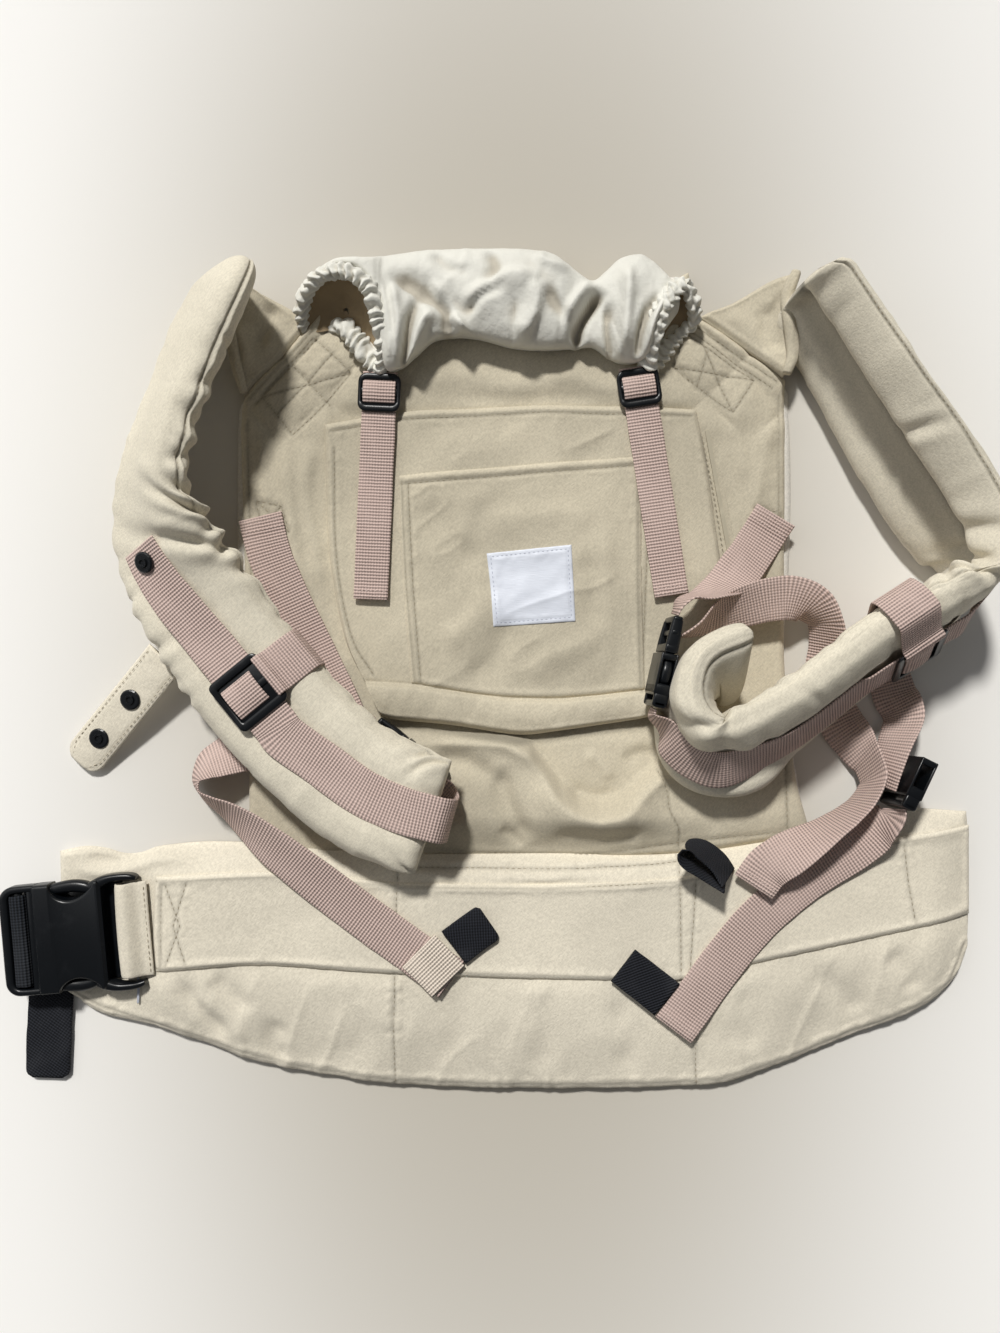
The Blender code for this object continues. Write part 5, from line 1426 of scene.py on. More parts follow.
def chest_wrap(side, route, at, face, shift, reach):
    """Chest webbing that leaves its slider, goes round the pad's edge and ends under it."""
    m, a, u, run = on_pad(route, at, 0.0)
    lead, t = PAD_W / 2, PAD_T / 2
    u = u * face
    off = GAP + 0.5 + HALF_PLY
    edge = between(at, shift) + STRAP_W / 2
    rows = [a * (edge - 0.4) + u * (BRIDGE + 1.6), a * (edge + 0.6) + u * (BRIDGE + 4.0),
            a * (edge + 5.0) + u * (BRIDGE + 4.2), a * (edge + 9.0) + u * (t + off + 3.0)]
    for angle in (55, 30, 0, -30, -60):
        c, s = math.cos(math.radians(angle)), math.sin(math.radians(angle))
        rows.append(a * (lead - 8.0 + (8.0 + off + 0.5) * c) + u * (t + off) * s)
    rows.append(a * (lead - 14.0) - u * (t + off + 0.3))
    rows.append(a * (lead - 14.0 - reach) - u * (t + off + 0.3))
    middles = [m + row for row in rows]
    strap("chest_wrap_%s_webbing" % side, middles, [run] * len(middles), STRAP_W, PINK_TAPE,
          body="chest_slider_%s_body" % side, stands_for=("chest_wrap_" + side,), wander=0.1)


def rim_of_frame(place, hx, hy, radius, bar, rail_w):
    """Rounded rim that webbing runs through: rails beside it, bars across above it."""
    per = 9
    outer = round_ring(-hx, hx, -hy, hy, radius, per)
    inner = round_ring(-hx + bar, hx - bar, -hy + rail_w, hy - rail_w,
                       max(radius - rail_w, 1.2), per)
    rings = []
    for (ox, oy), (ix, iy) in zip(outer, inner):
        over = float(smooth(hx - bar - 1.5, hx - bar * 0.5, abs(ox)))
        middle, thick = 0.7 + 1.4 * over, 4.8 - 2.2 * over
        ring = []
        for k in range(14):
            angle = 2 * math.pi * k / 14
            c, s = math.cos(angle), math.sin(angle)
            f = 0.5 + 0.5 * math.copysign(abs(c) ** 0.7, c)
            ring.append(place(ix + (ox - ix) * f, iy + (oy - iy) * f,
                              middle + thick / 2 * math.copysign(abs(s) ** 0.7, s)))
        rings.append(ring)
    return shell(rings, loop=True)


def web_frame(name, place, hx, hy, radius, bar, rail_w, hump):
    """A slider or glide: its rim, a dark floor, a middle bar and the webbing humped over it."""
    well = block(place, -hx + bar * 0.6, hx - bar * 0.6, -hy + rail_w * 0.7, hy - rail_w * 0.7,
                 0.85, 1.25, 0.2)
    low, high, middle, width = hump
    bar_over = block(place, (low + high) / 2 - 2.5, (low + high) / 2 + 2.5, -hy + rail_w * 0.7,
                     hy - rail_w * 0.7, 1.0, 2.4, 0.6)
    moulding(name + "_frame", [rim_of_frame(place, hx, hy, radius, bar, rail_w), well, bar_over],
             PLASTIC, name + "_body", name)
    span = high - low
    rows = [place(low + span * f, middle, z) for f, z in
            ((0.0, 1.0), (0.05, 2.4), (0.2, 3.5), (0.45, 4.0), (0.7, 3.7), (0.92, 2.6), (1.0, 1.1))]
    across = place(0, 1, 0) - place(0, 0, 0)
    strap(name + "_fold", rows, [across] * len(rows), width, PINK_TAPE, body=name + "_body",
          step=1.0, wander=0.12)


def chest_frame(side, route, at, face, shift, hump):
    m, _, u, run = on_pad(route, at, face * BRIDGE, between(at, shift))
    rail_w = 4.6
    web_frame("chest_slider_" + side, placer(m, run, u * face), SLIDER_L / 2,
              STRAP_W / 2 + rail_w, 4.5, 6.0, rail_w, hump)


def left_shoulder():
    creases = ((92, 5, 3.4, 345, 34, 6), (118, 6, 4.6, 340, 40, -4), (146, 5, 3.8, 350, 34, 8),
               (176, 6, 6.0, 350, 40, -10), (192, 5, 7.0, 12, 46, -22), (206, 5, 5.0, 335, 40, 12),
               (216, 6, 4.6, 60, 40, -26), (232, 5, 6.0, 5, 34, 10), (254, 6, 4.0, 10, 34, -6),
               (478, 4, 3.4, 35, 26, -30), (482, 4, 3.0, 150, 26, 26), (470, 5, 2.4, 20, 30, -26),
               *puffs(11, 40, 320, 15, 168, 40, 2.6), *puffs(12, 60, 260, 19, 335, 30, 2.2),
               *puffs(13, 260, 480, 26, 195, 40, 2.0), *puffs(14, 300, 470, 28, 350, 30, 1.6))
    rings, marks, _ = pad_rings(PAD_LEFT, 101, creases, pressed=(1, LEFT_SHIFT),
                                taper=(34.0, 20.0))
    pad_piece("pad_left", ("shoulder_pad_left_cover", "shoulder_pad_left_foam"), rings, marks,
              PAD_CANVAS, ((0, 4, 92),))
    end, a, u, heading = on_pad(PAD_LEFT, 11.0, FACE, between(11.0, LEFT_SHIFT))
    side = (0.65, 0.76, 0.0)
    ending = [(end + heading * 8.0 - u * 3.0, a), (end + heading * 12.5 - u * 14.0, a),
              (end + heading * 10.5 - u * 27.0, a), (LEFT_BUCKLE(FEMALE_L + 8.0, 0, 2.0), side),
              (LEFT_BUCKLE(FEMALE_L + 3.0, 0, 0.3), side),
              (LEFT_BUCKLE(FEMALE_L + 0.35, 0, 0), side)]
    marks = ((4.9, 1.12), (5.3, 1.12), (5.8, 1.16), (8.7, 1.06), (9.4, 1.0), (10.2, 1.0),
             (10.9, 1.0))
    pad_strip("strip_left", PAD_LEFT, FACE, marks, LEFT_SHIFT, ending, LEFT_SLIDER_AT,
              "shoulder_strip_left")
    chest_wrap("left", PAD_LEFT, LEFT_SLIDER_AT, 1, LEFT_SHIFT, 10.0)
    chest_frame("left", PAD_LEFT, LEFT_SLIDER_AT, 1, LEFT_SHIFT, (-11.0, 12.0, -3.0, 25.0))
    flat_strap("side_webbing_left",
               [*lifted(((-187, 110, 6.9, 0), (-179, 79, 7.2, 0), (-163, 42, 7.6, 0),
                         (-147, 8, 9, 0)), body_z, STRAP_W),
                (-131, -24, 14, 0), (*LEFT_BUCKLE(-MALE_L - 17.0, 0, -2.0), 0),
                (*LEFT_BUCKLE(-MALE_L - 1.4, 0, 0), 0)], STRAP_W, PINK_TAPE, hems=(11, 0),
               stands_for=("side_strap_left",))
    flat_strap("side_tail_webbing_left",
               [(-119, -62, 13.9, 0), (-142, -63, 10, 0), (-170, -60, 11, 4), (-202, -62, 14, 18),
                (-229, -76, 18, 55), (-228, -93, 20, 72), (-205, -107, 24, 50),
                (-170, -132, 31, 20), (-112, -178, 25, 3), (-46, -226, 23.3, 0)],
               STRAP_W, PINK_TAPE, hems=(0, 9), stands_for=("side_tail_left",))
    # its end, turned back on itself with the paler side out
    flat_strap("side_tail_left_turned_end", [(-70, -204.5, 25.9, 0), (-59, -215.5, 25.7, 0),
                                             (-48, -226.8, 25.5, 0)], STRAP_W + 0.6, PALE_TAPE)
    flat_strap("keeper_loop_left", [(-44.4, -202.4, 24.6, 0), (-32, -193, 24.6, 0),
                                    (-19, -184, 24.6, 0)], 29.0, ELASTIC, ply=3.0, rounded=3.5,
               stands_for=("keeper_left",))


def right_shoulder():
    creases = ((34, 5, 1.6, 50, 26, 10), (128, 4, 3.0, 48, 26, -8), (206, 5, 3.0, 50, 30, -12),
               (226, 5, 5.0, 60, 60, -12), (239, 5, 7.0, 40, 60, -8), (252, 4, 4.6, 25, 34, 14),
               (262, 4, 3.0, 40, 30, -14), (241, 4, 3.0, 330, 30, 0), (462, 5, 3.0, 20, 40, 12),
               (476, 5, 3.0, 330, 40, -8), (452, 5, 2.6, 300, 40, 12),
               *puffs(21, 270, 450, 24, 30, 30, 1.5), *puffs(22, 270, 450, 26, 300, 60, 1.5))
    rings, marks, run = pad_rings(
        PAD_RIGHT, 131, creases, pressed=(-1, RIGHT_SHIFT), taper=(7.0, 14.0),
        seam_at=((0, 9.0), (5, 9.0), (6.2, 24.0), (13, 24.0)),
        opened=((TROUGH, 0, 12, 224, 244), (BELLY, 396, 440, 462, 484),
                (SLOPE, 452, 486, 900, 901)))
    # painted shade: the trough's floor, which lies in shade, is darkened through the marks
    angles = np.degrees(skin_angles(PAD_AROUND))
    floor = smooth(74, 80, angles) * (1.2 * smooth(122, 112, angles) + 1.3 * smooth(96, 82, angles))
    marks = marks + floor[None] * smooth(240, 222, run)[:, None]
    pad_piece("pad_right", ("shoulder_pad_right_cover", "shoulder_pad_right_foam"), rings, marks,
              PAD_CANVAS, ((5, 3, 100), (14, 124, len(rings) - 4)), hollow=(16.0, 12.0))
    up = (0.0, 0.1, 1.0)

    def leaning(at):
        m, a, u, _ = on_pad(PAD_RIGHT, at, -FACE - 5.0, between(at, RIGHT_SHIFT))
        return m, a * 0.93 + u * 0.37

    ending = [leaning(9.2), leaning(9.7), leaning(10.15), ((103, -42, 48), (0.1, 0.3, 0.95)),
              (RIGHT_BUCKLE(FEMALE_L + 7.0, 0, 0), up), (RIGHT_BUCKLE(FEMALE_L + 1.0, 0, 0), up)]
    marks = ((4.2, 1.05), (4.5, 1.1), (6.8, 1.0), (7.6, 1.02), (8.3, 1.06))
    pad_strip("strip_right", PAD_RIGHT, -FACE, marks, RIGHT_SHIFT, ending, RIGHT_SLIDER_AT,
              "shoulder_strip_right")
    chest_wrap("right", PAD_RIGHT, RIGHT_SLIDER_AT, -1, RIGHT_SHIFT, 66.0)
    chest_frame("right", PAD_RIGHT, RIGHT_SLIDER_AT, -1, RIGHT_SHIFT, (-11.0, 12.0, 0.0, 29.0))
    flat_strap("side_webbing_right",
               [*lifted(((191, 111, 7.0, 0), (180, 93, 9.5, 0)), body_z, STRAP_W),
                (167, 75, 16, 4), (152, 60, 25, 38),
                (135, 51, 38, 70), (*RIGHT_BUCKLE(-MALE_L - 13.0, 0, -4.0), 84),
                (*RIGHT_BUCKLE(-MALE_L - 1.75, 0, 0), 90)], STRAP_W, PINK_TAPE, hems=(11, 0),
               stands_for=("side_strap_right",))
    flat_strap("side_tail_webbing_right",
               [(*RIGHT_BUCKLE(-12.0, 0, -4.1), 88), (122, 25, 44, 82), (140, 34, 36, 52),
                (164, 43, 31, 22), (190, 49, 29, 12), (209, 46, 27, 24), (223, 34, 22, 58),
                (229, 14, 14, 50), (232, -14, 3.2, 4), (240, -38, 2.6, 0), (251, -58, 11, 38),
                (258, -78, 24, 76), (246, -98, 31, 80), (221, -116, 35, 66), (197, -131, 35, 34),
                (180, -143, 33, 10), (170, -157, 31, 2)],
               STRAP_W, PINK_TAPE, hems=(0, 9), stands_for=("side_tail_right",))
    flat_strap("chest_webbing_right",
               [(265, 27, 5.8, 0), (271, 10, 4.8, 0), (277, -6, 3.6, 0), (281, -20, 4.0, 5),
                (284, -36, 14, 50), (275, -54, 22, 66), (268, -70, 24, 66), (263, -86, 23, 66)],
               STRAP_W, PINK_TAPE, stands_for=("chest_strap_right",))
    flat_strap("chest_tail_webbing_right",
               [(*CHEST_BUCKLE(FEMALE_L + 1.75, 0, 0), 88),
                (*CHEST_BUCKLE(FEMALE_L + 10.0, 0, 0.5), 70), (259, -117, 27, 40),
                (243, -131, 24.8, 10), (205, -157, 24, 0), (166, -193, 23.5, 0),
                (114, -262, 23.5, 0)], STRAP_W, PINK_TAPE, hems=(0, 9),
               stands_for=("chest_tail_right",))
    side = unit(np.array((0.55, 0.2, -0.81)))
    loop = [(x, y, 35) for x, y in ((151, -150), (144, -139.5), (134, -131.5), (125, -129),
                                    (120.6, -131.5), (124, -137), (136, -144.5), (149, -152.5))]
    strap("keeper_loop_right", loop, [side] * len(loop), 28.0, ELASTIC, ply=1.5, step=1.2,
          stands_for=("keeper_right_side",))
    flat_strap("keeper_flat_right", [(109, -239.8, 24.6, 0), (94, -228, 24.6, 0),
                                     (77.6, -215.4, 24.6, 0)], 29.0, ELASTIC, ply=3.0,
               stands_for=("keeper_right_chest",))


def snap_tab():
    place = placer((-252.7, 6.4, 22.9), (-0.654, -0.733, -0.185), (0, 0, 1))
    rows, columns = 56, 22
    long, half_width = 106.0, 15.0
    s = np.linspace(0, long, rows)[:, None]
    # the width draws in over the last ten millimetres, for a rounded end
    drawn_in = np.clip((s - long + 10) / 12.0, 0, 0.97)
    half = half_width * np.sqrt(np.clip(1 - drawn_in ** 2, 0.05, 1))
    v = np.linspace(-1, 1, columns)[None, :] * half
    s = s + 0 * v
    bow = 0.9 * np.cos(v / half_width * 1.3) + 0.5 * rumple(s, v, 26, 151)
    top = 2.0 + bow - 0.9 * (np.abs(v) / np.maximum(half, 1)) ** 8
    top = top - 0.5 * np.exp(-((np.abs(v) - half + 2.6) / 0.9) ** 2)
    points = [place(a, b, t) for a, b, t in zip(s.ravel(), v.ravel(), top.ravel())]
    points += [place(a, b, 0.1) for a, b in zip(s.ravel(), v.ravel())]
    faces = (grid_faces(rows, columns, turn=True) + grid_faces(rows, columns, rows * columns)
             + [quad[::-1] for quad in border_faces(rows, columns)])
    piece("snap_tab_cloth", points, faces, CANVAS_PALE, body="snap_tab_body",
          stands_for=("snap_tab",))
    edge = [place(a, b, 3.0) for a, b in ((3, -12.2), (94, -12.2), (102.5, -8), (102.5, 8),
                                          (94, 12.2), (3, 12.2))]
    line = []
    for p, q in zip(edge[:-1], edge[1:]):
        n = max(2, int(np.linalg.norm(q - p) / 4))
        line += [p + (q - p) * k / n for k in range(n)]
    sew("snap_tab_stitching", [line + edge[-1:]], body="snap_tab_body")


# ---------------------------------------------------------------------------
# hood
# ---------------------------------------------------------------------------
HOOD_FLOOR = foot_of("hood")
# x, the y of the far edge, the y of the near edge, height
HOOD_SECTIONS = (
    (-151, 278, 271, 16), (-144, 287, 278, 26), (-132, 292, 282, 34), (-119, 293, 282, 39),
    (-109, 294, 275, 40), (-102, 296, 262, 39), (-98, 298, 236, 37), (-94, 299, 210, 35),
    (-84, 301, 210, 34),
    (-72, 302, 220, 35), (-57, 303, 233, 35), (-30, 304, 234, 36), (0, 304, 226, 38),
    (24, 301, 225, 39), (38, 292, 227, 35), (50, 283, 229, 30), (57, 281, 229, 28),
    (66, 288, 222, 32), (76, 297, 215, 36), (88, 300, 215, 37), (98, 296, 222, 36),
    (108, 287, 240, 33), (118, 276, 256, 26))
HOOD_FOLDS = (
    (((-52, 233), (-49, 253), (-71, 268), (-92, 282)), -9.0, 5, 9),
    (((-34, 230), (-44, 252), (-62, 276)), 6.0, 6, 4),
    (((-50, 252), (-40, 243), (-31, 231)), 5.5, 4, 3),
    (((-82, 211), (-77, 243), (-68, 268)), -6.0, 3, 5),
    (((-88, 211), (-84, 246), (-88, 276)), 5.0, 4, 3),
    (((-78, 212), (-70, 238), (-58, 256)), 5.0, 3, 4),
    (((-39, 256), (-22, 268), (-4, 277), (19, 275)), 7.0, 5, 13),
    (((-38, 250), (-24, 262), (-6, 271)), -5.0, 4, 4),
    (((19, 276), (14, 250), (1, 228)), 6.5, 3, 8),
    (((20, 272), (34, 250), (44, 232)), -4.5, 4, 6),
    (((-3, 226), (-2, 244), (0, 262)), -1.6, 1.6, 1.6),
    (((44, 226), (46, 244), (54, 258), (64, 270)), -12.0, 5, 4),
    (((40, 228), (36, 248), (48, 268), (60, 282)), 6.0, 3, 7),
    (((79, 293), (79, 262), (75, 217)), 7.0, 5, 4),
    (((70, 216), (66, 240), (66, 262)), -6.0, 3, 4),
    (((84, 216), (90, 244), (104, 268)), -4.6, 3, 4),
    (((94, 222), (99, 248), (112, 272)), 4.6, 3, 3),
    (((-20, 300), (-14, 284), (-22, 268)), -3.6, 4, 6),
    (((-60, 298), (-48, 284), (-30, 280)), -3.0, 4, 5),
    (((14, 298), (22, 288), (40, 284)), 3.4, 4, 5),
)
# narrow pleats that run up from where each strap gathers the cloth
HOOD_PLEATS = (
    ((-93, 213), (-90, 232), (-92, 256), (-98, 280)), ((-87, 212), (-82, 232), (-80, 258)),
    ((-80, 212), (-71, 228), (-62, 246)), ((92, 218), (96, 240), (106, 262)),
    ((84, 217), (84, 238), (90, 262)), ((76, 217), (70, 234), (66, 252)),
)


def hood_bunch():
    """The rolled-up hood: a sagging roll crossed by pulls that fan out from its two straps."""
    rows = curve(HOOD_SECTIONS, 210)
    around = 120
    theta = 2 * np.pi * np.arange(around) / around
    c, s = np.cos(theta), np.sin(theta)
    bulge = np.sign(c) * np.abs(c) ** 0.85 * np.where(c < 0, 0.80 + 0.20 * smooth(-0.2, 0.75, s), 1.0)
    x = np.repeat(rows[:, :1], around, axis=1)
    y = (rows[:, 1:2] + rows[:, 2:3]) / 2 + (rows[:, 1:2] - rows[:, 2:3]) / 2 * bulge[None]
    crown = HOOD_FLOOR + 4 + (rows[:, 3:4] - 4 - HOOD_FLOOR) * (np.abs(s) ** 0.72)[None]
    z = np.where(s[None] >= 0, crown, HOOD_FLOOR + 4 - 3.6 * (np.abs(s) ** 0.5)[None])
    soft = smooth(HOOD_FLOOR + 2, HOOD_FLOOR + 13, z)
    rise = 1.3 * rumple(x, y, 34, 171, 75, 2.2) + 1.4 * pull(x, y, 24, 173, 70, 2.6)
    rise = rise + 0.5 * rumple(x, y, 11, 175, 80, 2.2) + 1.25 * folds(x, y, HOOD_FOLDS)
    for path in HOOD_PLEATS:
        beside = [(a + 3.4, b) for a, b in path]
        rise = rise + folds(x, y, ((path, 2.6, 2.2, 3.0), (beside, -2.2, 1.8, 2.2)))
    near = rise.copy()
    for step in (3, 5, 8):
        near = (near + np.roll(near, step, 1) + np.roll(near, -step, 1)
                + np.roll(near, step, 0) + np.roll(near, -step, 0)) / 5
    # painted shade where the cloth lies below its surroundings, in its creases
    crease_shade = np.clip((near - rise - 0.5) / 4.0, 0, 1) * soft
    rings = np.stack([x, y, z + soft * rise], axis=2)
    tube("hood_bunch", rings, HOOD_CLOTH, marks=0.6 * crease_shade, body="hood_body",
         stands_for=("hood",))


# x, y, z of the rim's middle and its size
HOOD_RING_LEFT = ((-156, 252, 8, 0.8), (-154, 266, 19, 1), (-139, 278, 33, 1), (-119, 279, 39, 1),
                  (-104, 268, 38, 1), (-98, 250, 34, 1), (-95, 232, 26, 1), (-98, 217, 15, 1),
                  (-109, 230, 13, 1.15), (-119, 242, 13, 1.1), (-128, 250, 11, 0.9),
                  (-140, 247, 4, 0.3), (-151, 247, 3, 0.3))
HOOD_RING_RIGHT = ((119, 273, 30, 1), (128, 262, 25, 1), (130, 252, 14, 0.8), (122, 246, 8, 0.7),
                   (111, 234, 9, 1), (98, 220, 12, 1.1), (96, 228, 24, 1), (100, 246, 33, 1),
                   (108, 262, 35, 1))


def hood_mouth(name, ring, middle, push):
    """The inside of the hood, seen through a gathered rim: a sheet whose dark colour is painted
    shade.
    """
    edge = curve(ring, 90, closed=True)[:, :3]
    middle = np.array(middle, float)
    rows = []
    for f in np.linspace(1.0, 0.06, 14):
        sunk = push * smooth(1.0, 0.45, f)
        row = middle + (edge - middle) * f
        row[:, 2] = np.maximum(row[:, 2] * 0.6 + 3.5 - sunk, PANEL_LEVEL + 2.2)
        row[:, 2] += 0.7 * lattice_noise(row[:, 0] / 7, row[:, 1] / 7, 197)
        rows.append(row)
    upper = np.array(rows)
    lower = upper[::-1].copy()
    lower[:, :, 2] -= 0.5
    rings = np.concatenate([upper, lower], axis=0)
    tube(name, rings, HOOD_INSIDE_SHADE, ends=(False, False), body="hood_body")


def gathered_rim(name, path, seed, radius):
    """Elastic casing round the hood's opening: overlapping pleats on a closed path."""
    fine = curve(path, 420, closed=True)
    line = fine[:, :3]
    tangent = unit(np.roll(line, -1, 0) - np.roll(line, 1, 0))
    centre = line.mean(axis=0)
    outward = unit(line - centre - tangent * ((line - centre) * tangent).sum(1, keepdims=True))
    third = np.cross(tangent, outward)
    run = running(line)
    around = 36
    theta = 2 * np.pi * np.arange(around) / around
    rings, marks = [], []
    for k in range(len(line)):
        twist = (run[k] + 3.2 * np.sin(theta + 0.6)
                 + 2.0 * lattice_noise(theta * 1.3, theta * 0, seed + 5))
        beat = twist / 6.6 + 0.45 * lattice_noise(run[k] / 11 + 0 * theta, theta * 0.5, seed)
        pleat = 1 - 2 * np.abs((beat % 1.0) - 0.5) * 2
        pleat = np.sign(pleat) * np.abs(pleat) ** 0.6
        strong = 0.65 + 0.35 * lattice_noise(run[k] / 14 + 0 * theta, theta, seed + 9)
        size = fine[k, 3] * (radius + 1.9 * pleat * strong + 0.8 * lattice_noise(
            run[k] / 4 + 0 * theta, theta * 2, seed + 3))
        # painted shade in the hollows between the pleats
        marks.append(0.55 * smooth(-0.2, -0.9, pleat) * strong)
        rings.append(line[k] + outward[k] * (np.cos(theta) * size * 0.86)[:, None]
                     + third[k] * (np.sin(theta) * size * 1.22)[:, None])
    rings, marks = (np.array(rows + rows[:1]) for rows in (rings, marks))
    tube(name, rings, HOOD_CLOTH, ends=(False, False), marks=marks, body="hood_body")


def hood():
    hood_bunch()
    hood_mouth("hood_mouth_left", HOOD_RING_LEFT, (-124, 262, 24), 7.0)
    hood_mouth("hood_mouth_right", HOOD_RING_RIGHT, (112, 254, 22), 5.0)
    gathered_rim("hood_rim_left", HOOD_RING_LEFT, 181, 5.8)
    gathered_rim("hood_rim_right", HOOD_RING_RIGHT, 191, 5.6)


HOOD_STRAPS = (("left", (-98.4, 214.8, 15.9), (-105.5, 49.0, 15.9)),
               ("right", (87.8, 218.4, 15.9), (114.0, 52.0, 15.9)))


def hood_straps():
    for side, start, end in HOOD_STRAPS:
        start, end = np.array(start), np.array(end)
        heading = unit(end - start)
        rest = np.linalg.norm(end - start)
        rows = [start + heading * rest * share for share in (0, 0.1, 0.25, 0.4, 0.6, 0.8, 0.9, 1.0)]
        across = np.cross((0, 0, 1.0), heading)
        strap("hood_webbing_" + side, rows, [across] * len(rows), 25.0, PINK_TAPE, hems=(0, 9),
              body="hood_body", stands_for=("hood_strap_" + side,), wander=0.12)
        centre = start + heading * 15.5
        web_frame("tri_glide_" + side, placer(centre, heading, (0, 0, 1)), 14.0, 15.6, 6.5, 4.8,
                  3.2, (-8.4, 7.2, 0.0, 23.6))


# ---------------------------------------------------------------------------
# hardware
# ---------------------------------------------------------------------------
CARRIED = {
    "pad_snap_left": PLASTIC, "tab_snap_inner": PLASTIC, "tab_snap_outer": PLASTIC,
    "zip_slider": ZIP_METAL, "zip_teeth": ZIP_COIL,
}


def carried():
    for name, look in CARRIED.items():
        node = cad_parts[name]
        node.data.materials.clear()
        node.data.materials.append(look)


def waist_socket():
    """Socket half: a shell with a squeeze notch in each side, the band's bar, two horns."""
    place = WAIST_BUCKLE
    rings = []
    for x in np.concatenate([[-1.8, -1.5, -0.8], np.linspace(0, 46, 100), [47.0, 47.8, 48.1]]):
        upper = 12.5 * math.sin(math.pi * min(max((x - 11) / 33.0, 0), 1) ** 0.8) ** 0.62
        lower = 9.5 * math.sin(math.pi * min(max((x - 13) / 31.0, 0), 1) ** 0.9) ** 0.62
        inset = 1.6 * float(smooth(0, -1.8, x)) + 2.0 * float(smooth(46, 48.1, x))
        half_width, half_height = 39.6 - inset, 8 - inset
        rings.append([place(x, y, z) for y, z in
                      round_ring(lower - half_width, half_width - upper, -half_height,
                                 half_height, 2.6)])
    skins = [shell(rings, hollow=(8.0, 3.0)), block(place, 60.5, 68, -34, 34, -3, 3, 1.4),
             block(place, 44, 60, -35, 35, -7.0, -5.4, 0.5),
             block(place, 8, 46, 24, 36, -7.0, -4.9, 0.5),
             block(place, 8, 46, -36, -26, -7.0, -4.9, 0.5)]
    for side in (1, -1):
        skins.append(rail(place, ((41, side * 34.0, 0, 9, 13), (48, side * 37.6, 0, 7.4, 13),
                                  (55, side * 39.4, 0, 5.6, 12), (64, side * 39.6, 0, 5.0, 11),
                                  (70, side * 38.8, 0, 4.4, 10), (73.2, side * 37.6, 0, 3.0, 8))))
    moulding("waist_socket", skins, PLASTIC, node="waist_buckle_female")


def waist_prongs():
    """Prong half: rounded ladder frame, two bowed levers that show in the notches, a tongue."""
    place = WAIST_BUCKLE
    half = ((-0.5, 37.2, 5), (-12, 37.2, 5), (-18.6, 36.4, 5.6), (-22.6, 32.6, 6.4),
            (-23.4, 26, 6.6))
    ladder = ([(x, -y, 0, wide, 11.5) for x, y, wide in half] + [(-23.4, 0, 0, 6.6, 11.5)]
              + [(x, y, 0, wide, 11.5) for x, y, wide in half[::-1]])
    skins = [rail(place, ladder, 110), block(place, -16.4, -10.4, -35, 35, -3.0, 3.0, 1.2),
             block(place, -6.2, -1.9, -37, 37, -5.0, 5.0, 1.0),
             block(place, -2.5, 38, -9, 9, -4.2, 4.2, 1.0)]
    for side in (1, -1):
        skins.append(rail(place, ((-3, side * 32.0, 0, 6, 8.5), (6, side * 33.4, 0, 7, 8.5),
                                  (15, side * 35.2, 0, 8.4, 9), (27, side * 36.0, 0, 9.0, 9),
                                  (36, side * 34.4, 0, 8.4, 9), (41, side * 31.4, 0, 6, 8))))
    moulding("waist_ladder", skins, PLASTIC, "waist_buckle_prong_half", "waist_buckle_male")


def waist_straps():
    """The belt's webbing: its run under the belt, the tail at the buckle and the keeper."""
    low, high = 1.0, 2.85
    near = WAIST_BUCKLE(50.0, 0, 0)
    flat_strap("waist_strap_under", [(322, -152, high, 0), (210, -162, high, 0), (100, -171, high, 0),
                                     (-100, -180, high, 0), (near[0], near[1], high, 0)],
               60.0, BLACK_TAPE, hems=(8, 0), stands_for=("waist_webbing",))
    upper, lower = high - WAIST_Z, low - WAIST_Z
    route = ((47.5, upper), (12, upper), (-4, upper + 1.0), (-15.0, -9.6), (-18.6, -4.6),
             (-19.4, 0.4), (-18.2, 4.4), (-14.0, 5.7), (-9.6, 4.9), (-8.0, 0.6), (-8.4, -6.4),
             (-13, -12.0), (-6, -16.6), (4, lower), (24, lower))
    side = WAIST_BUCKLE(0, 1, 0) - WAIST_BUCKLE(0, 0, 0)
    strap("waist_strap_tail", [WAIST_BUCKLE(x, 0, z) for x, z in route], [side] * len(route), 66.0,
          BLACK_TAPE, step=1.2, body="waist_buckle_prong_half", stands_for=("waist_webbing_tail",))
    x, y, _ = WAIST_BUCKLE(2.0, -31.6, 0) - (4.0, 0, 0)
    strap("waist_elastic", [(x, y, 2.3), (x - 0.6, y - 12, 2.4), (x - 1.4, y - 30, 2.8),
                            (x - 2.4, y - 55, 3.0), (x - 3, y - 76, 2.6)], [(1.0, 0, 0)] * 5, 33.0,
          ELASTIC, ply=3.4, rounded=6.0, body="waist_buckle_prong_half",
          stands_for=("waist_keeper",))
    top = WAIST_BUCKLE(66.0, -36.0, -4.0)
    strap("loose_thread", [top, top + (0.4, -6, 0.6), top + (0.2, -13, 0.4), top + (-0.4, -19, -0.6)],
          [(1.0, 0, 0)] * 4, 1.6, WHITE_THREAD, step=1.0, ply=0.7, rounded=0.7)


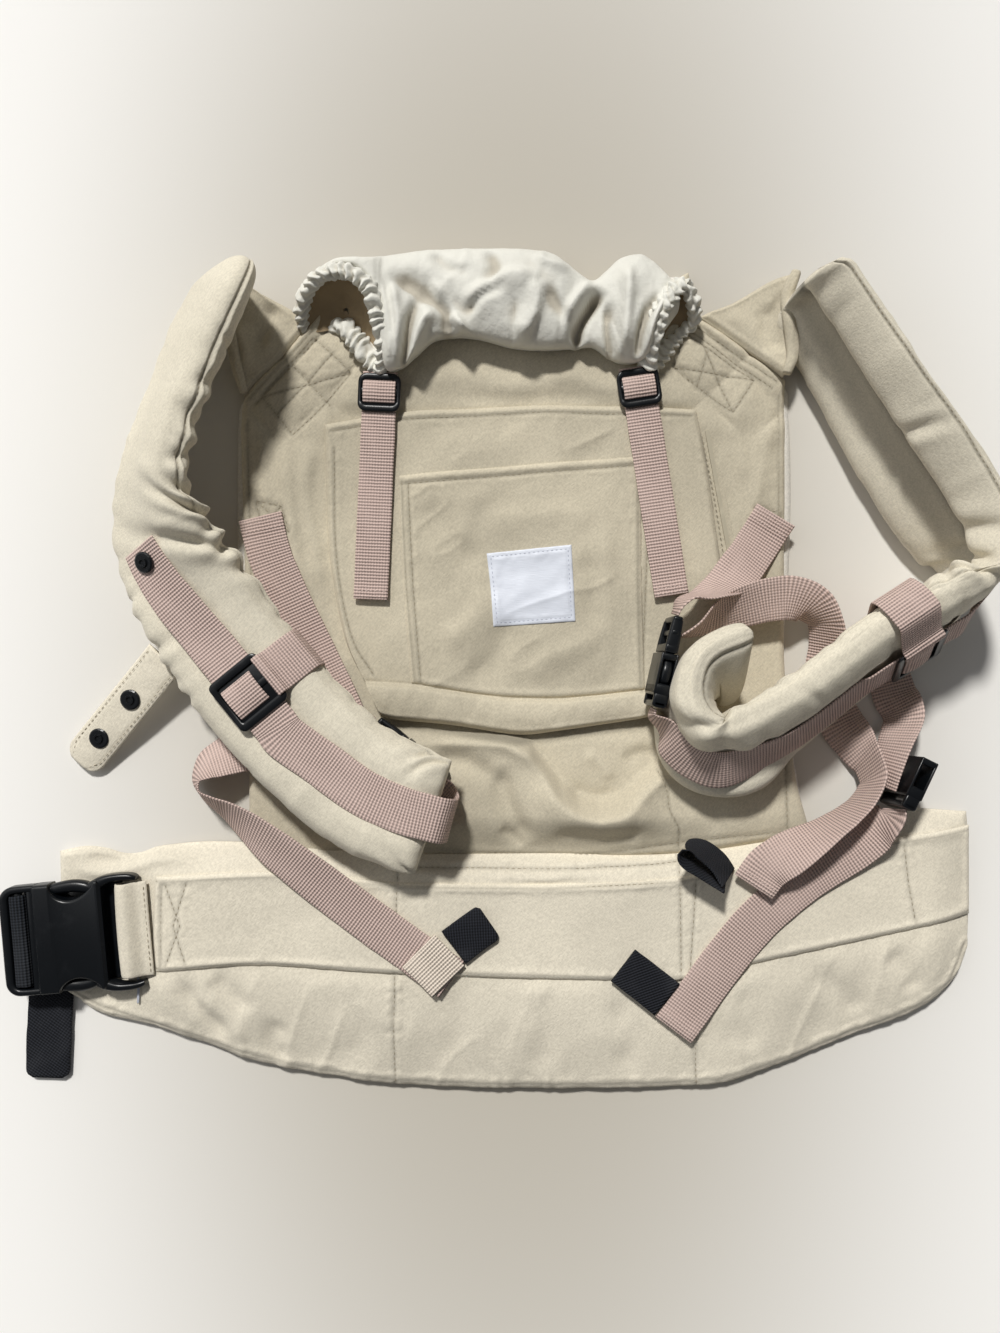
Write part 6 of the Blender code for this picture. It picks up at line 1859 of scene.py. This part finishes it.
def band_loop():
    """The band's end, turned round the socket's bar and sewn down on itself."""
    at = float(band_z(np.array([-262.0]), np.array([-188.0]))[0]) - WAIST_Z
    rows = ((79.5, at + 0.4), (77.0, at + 0.8), (72.0, at + 1.8), (65, 6.4), (59.6, 5.4),
            (56.9, 2.2), (56.6, -1.4), (59.0, -5.0), (66, -6.0), (77, -6.4))
    side = WAIST_BUCKLE(0, 1, 0) - WAIST_BUCKLE(0, 0, 0)
    strap("band_loop", [WAIST_BUCKLE(x, 0.6, z) for x, z in rows], [side] * len(rows), 68.0,
          CANVAS_PALE, step=1.2, ply=1.8, wander=0.7, cup=0.4)
    edge = [WAIST_BUCKLE(77.6, y, at + 1.8) for y in np.linspace(-32, 32, 20)]
    sew("band_loop_stitching", [edge])


def release_socket(name, node, place):
    """Socket half seen from its side: two cheeks, a window between them, a strap bar."""
    w, t, n = 21.0, 6.0, FEMALE_L
    skins = [block(place, 0.2, n - 9.0, -w, w, t - 2.0, t, 0.8),
             block(place, 0.2, n - 9.0, -w, w, -t, -t + 2.0, 0.8),
             block(place, 0.2, 5.0, w - 4.5, w, -t, t, 1.4),
             block(place, 0.2, 5.0, -w, -w + 4.5, -t, t, 1.4),
             block(place, 21.5, n - 8.0, -w, w, -t, t, 1.6),
             block(place, n - 4.6, n, -w, w, -t + 1.5, t - 1.5, 1.4)]
    for side in (1, -1):
        skins.append(block(place, n - 10.0, n - 0.5, *sorted((side * (w - 4), side * w)),
                           -t + 0.8, t - 0.8, 1.4))
    moulding(name, skins, PLASTIC, node=node)


def release_prongs(name, node, place):
    """Prong half: ladder end with rounded shoulders and two bowed prongs."""
    w, t, m = 20.5, 4.6, MALE_L
    skins = [block(place, -6.4, -0.4, -w, w, -t, t, 1.4),
             block(place, -m + 9.5, -m + 13.5, -w, w, -2.6, 2.6, 1.2),
             block(place, -m, -m + 4.4, -w + 1.5, w - 1.5, -3.4, 3.4, 1.6),
             block(place, -1.0, 21.0, -3, 3, -3.2, 3.2, 0.8)]
    for side in (1, -1):
        out = side * (w - 2.3)
        skins.append(rail(place, ((-0.6, out, 0, 4.4, 2 * t), (-10, out, 0, 4.4, 2 * t),
                                  (-m + 3, side * (w - 3.2), 0, 4.2, 7.6))))
        skins.append(rail(place, ((-2, side * 13.6, 0, 3.6, 6.6), (5, side * 15.4, 0, 5, 6.8),
                                  (12, side * 18.4, 0, 5.2, 7.0), (18, side * 18.0, 0, 5, 6.8),
                                  (21.2, side * 15.2, 0, 3.6, 6))))
    moulding(name, skins, PLASTIC, node=node)


def hardware():
    carried()
    waist_socket()
    waist_prongs()
    waist_straps()
    band_loop()
    for name, place in (("left", LEFT_BUCKLE), ("right", RIGHT_BUCKLE)):
        release_socket("side_socket_" + name, "side_buckle_socket_" + name, place)
        release_prongs("side_prongs_" + name, "side_buckle_prongs_" + name, place)
    release_socket("chest_socket_right", "chest_buckle_socket_right", CHEST_BUCKLE)


# ---------------------------------------------------------------------------
# all of it
# ---------------------------------------------------------------------------
studio()
hardware()
body()
lining()
wings()
zip_cloth()
pouch()
belt()
left_shoulder()
right_shoulder()
snap_tab()
hood()
hood_straps()
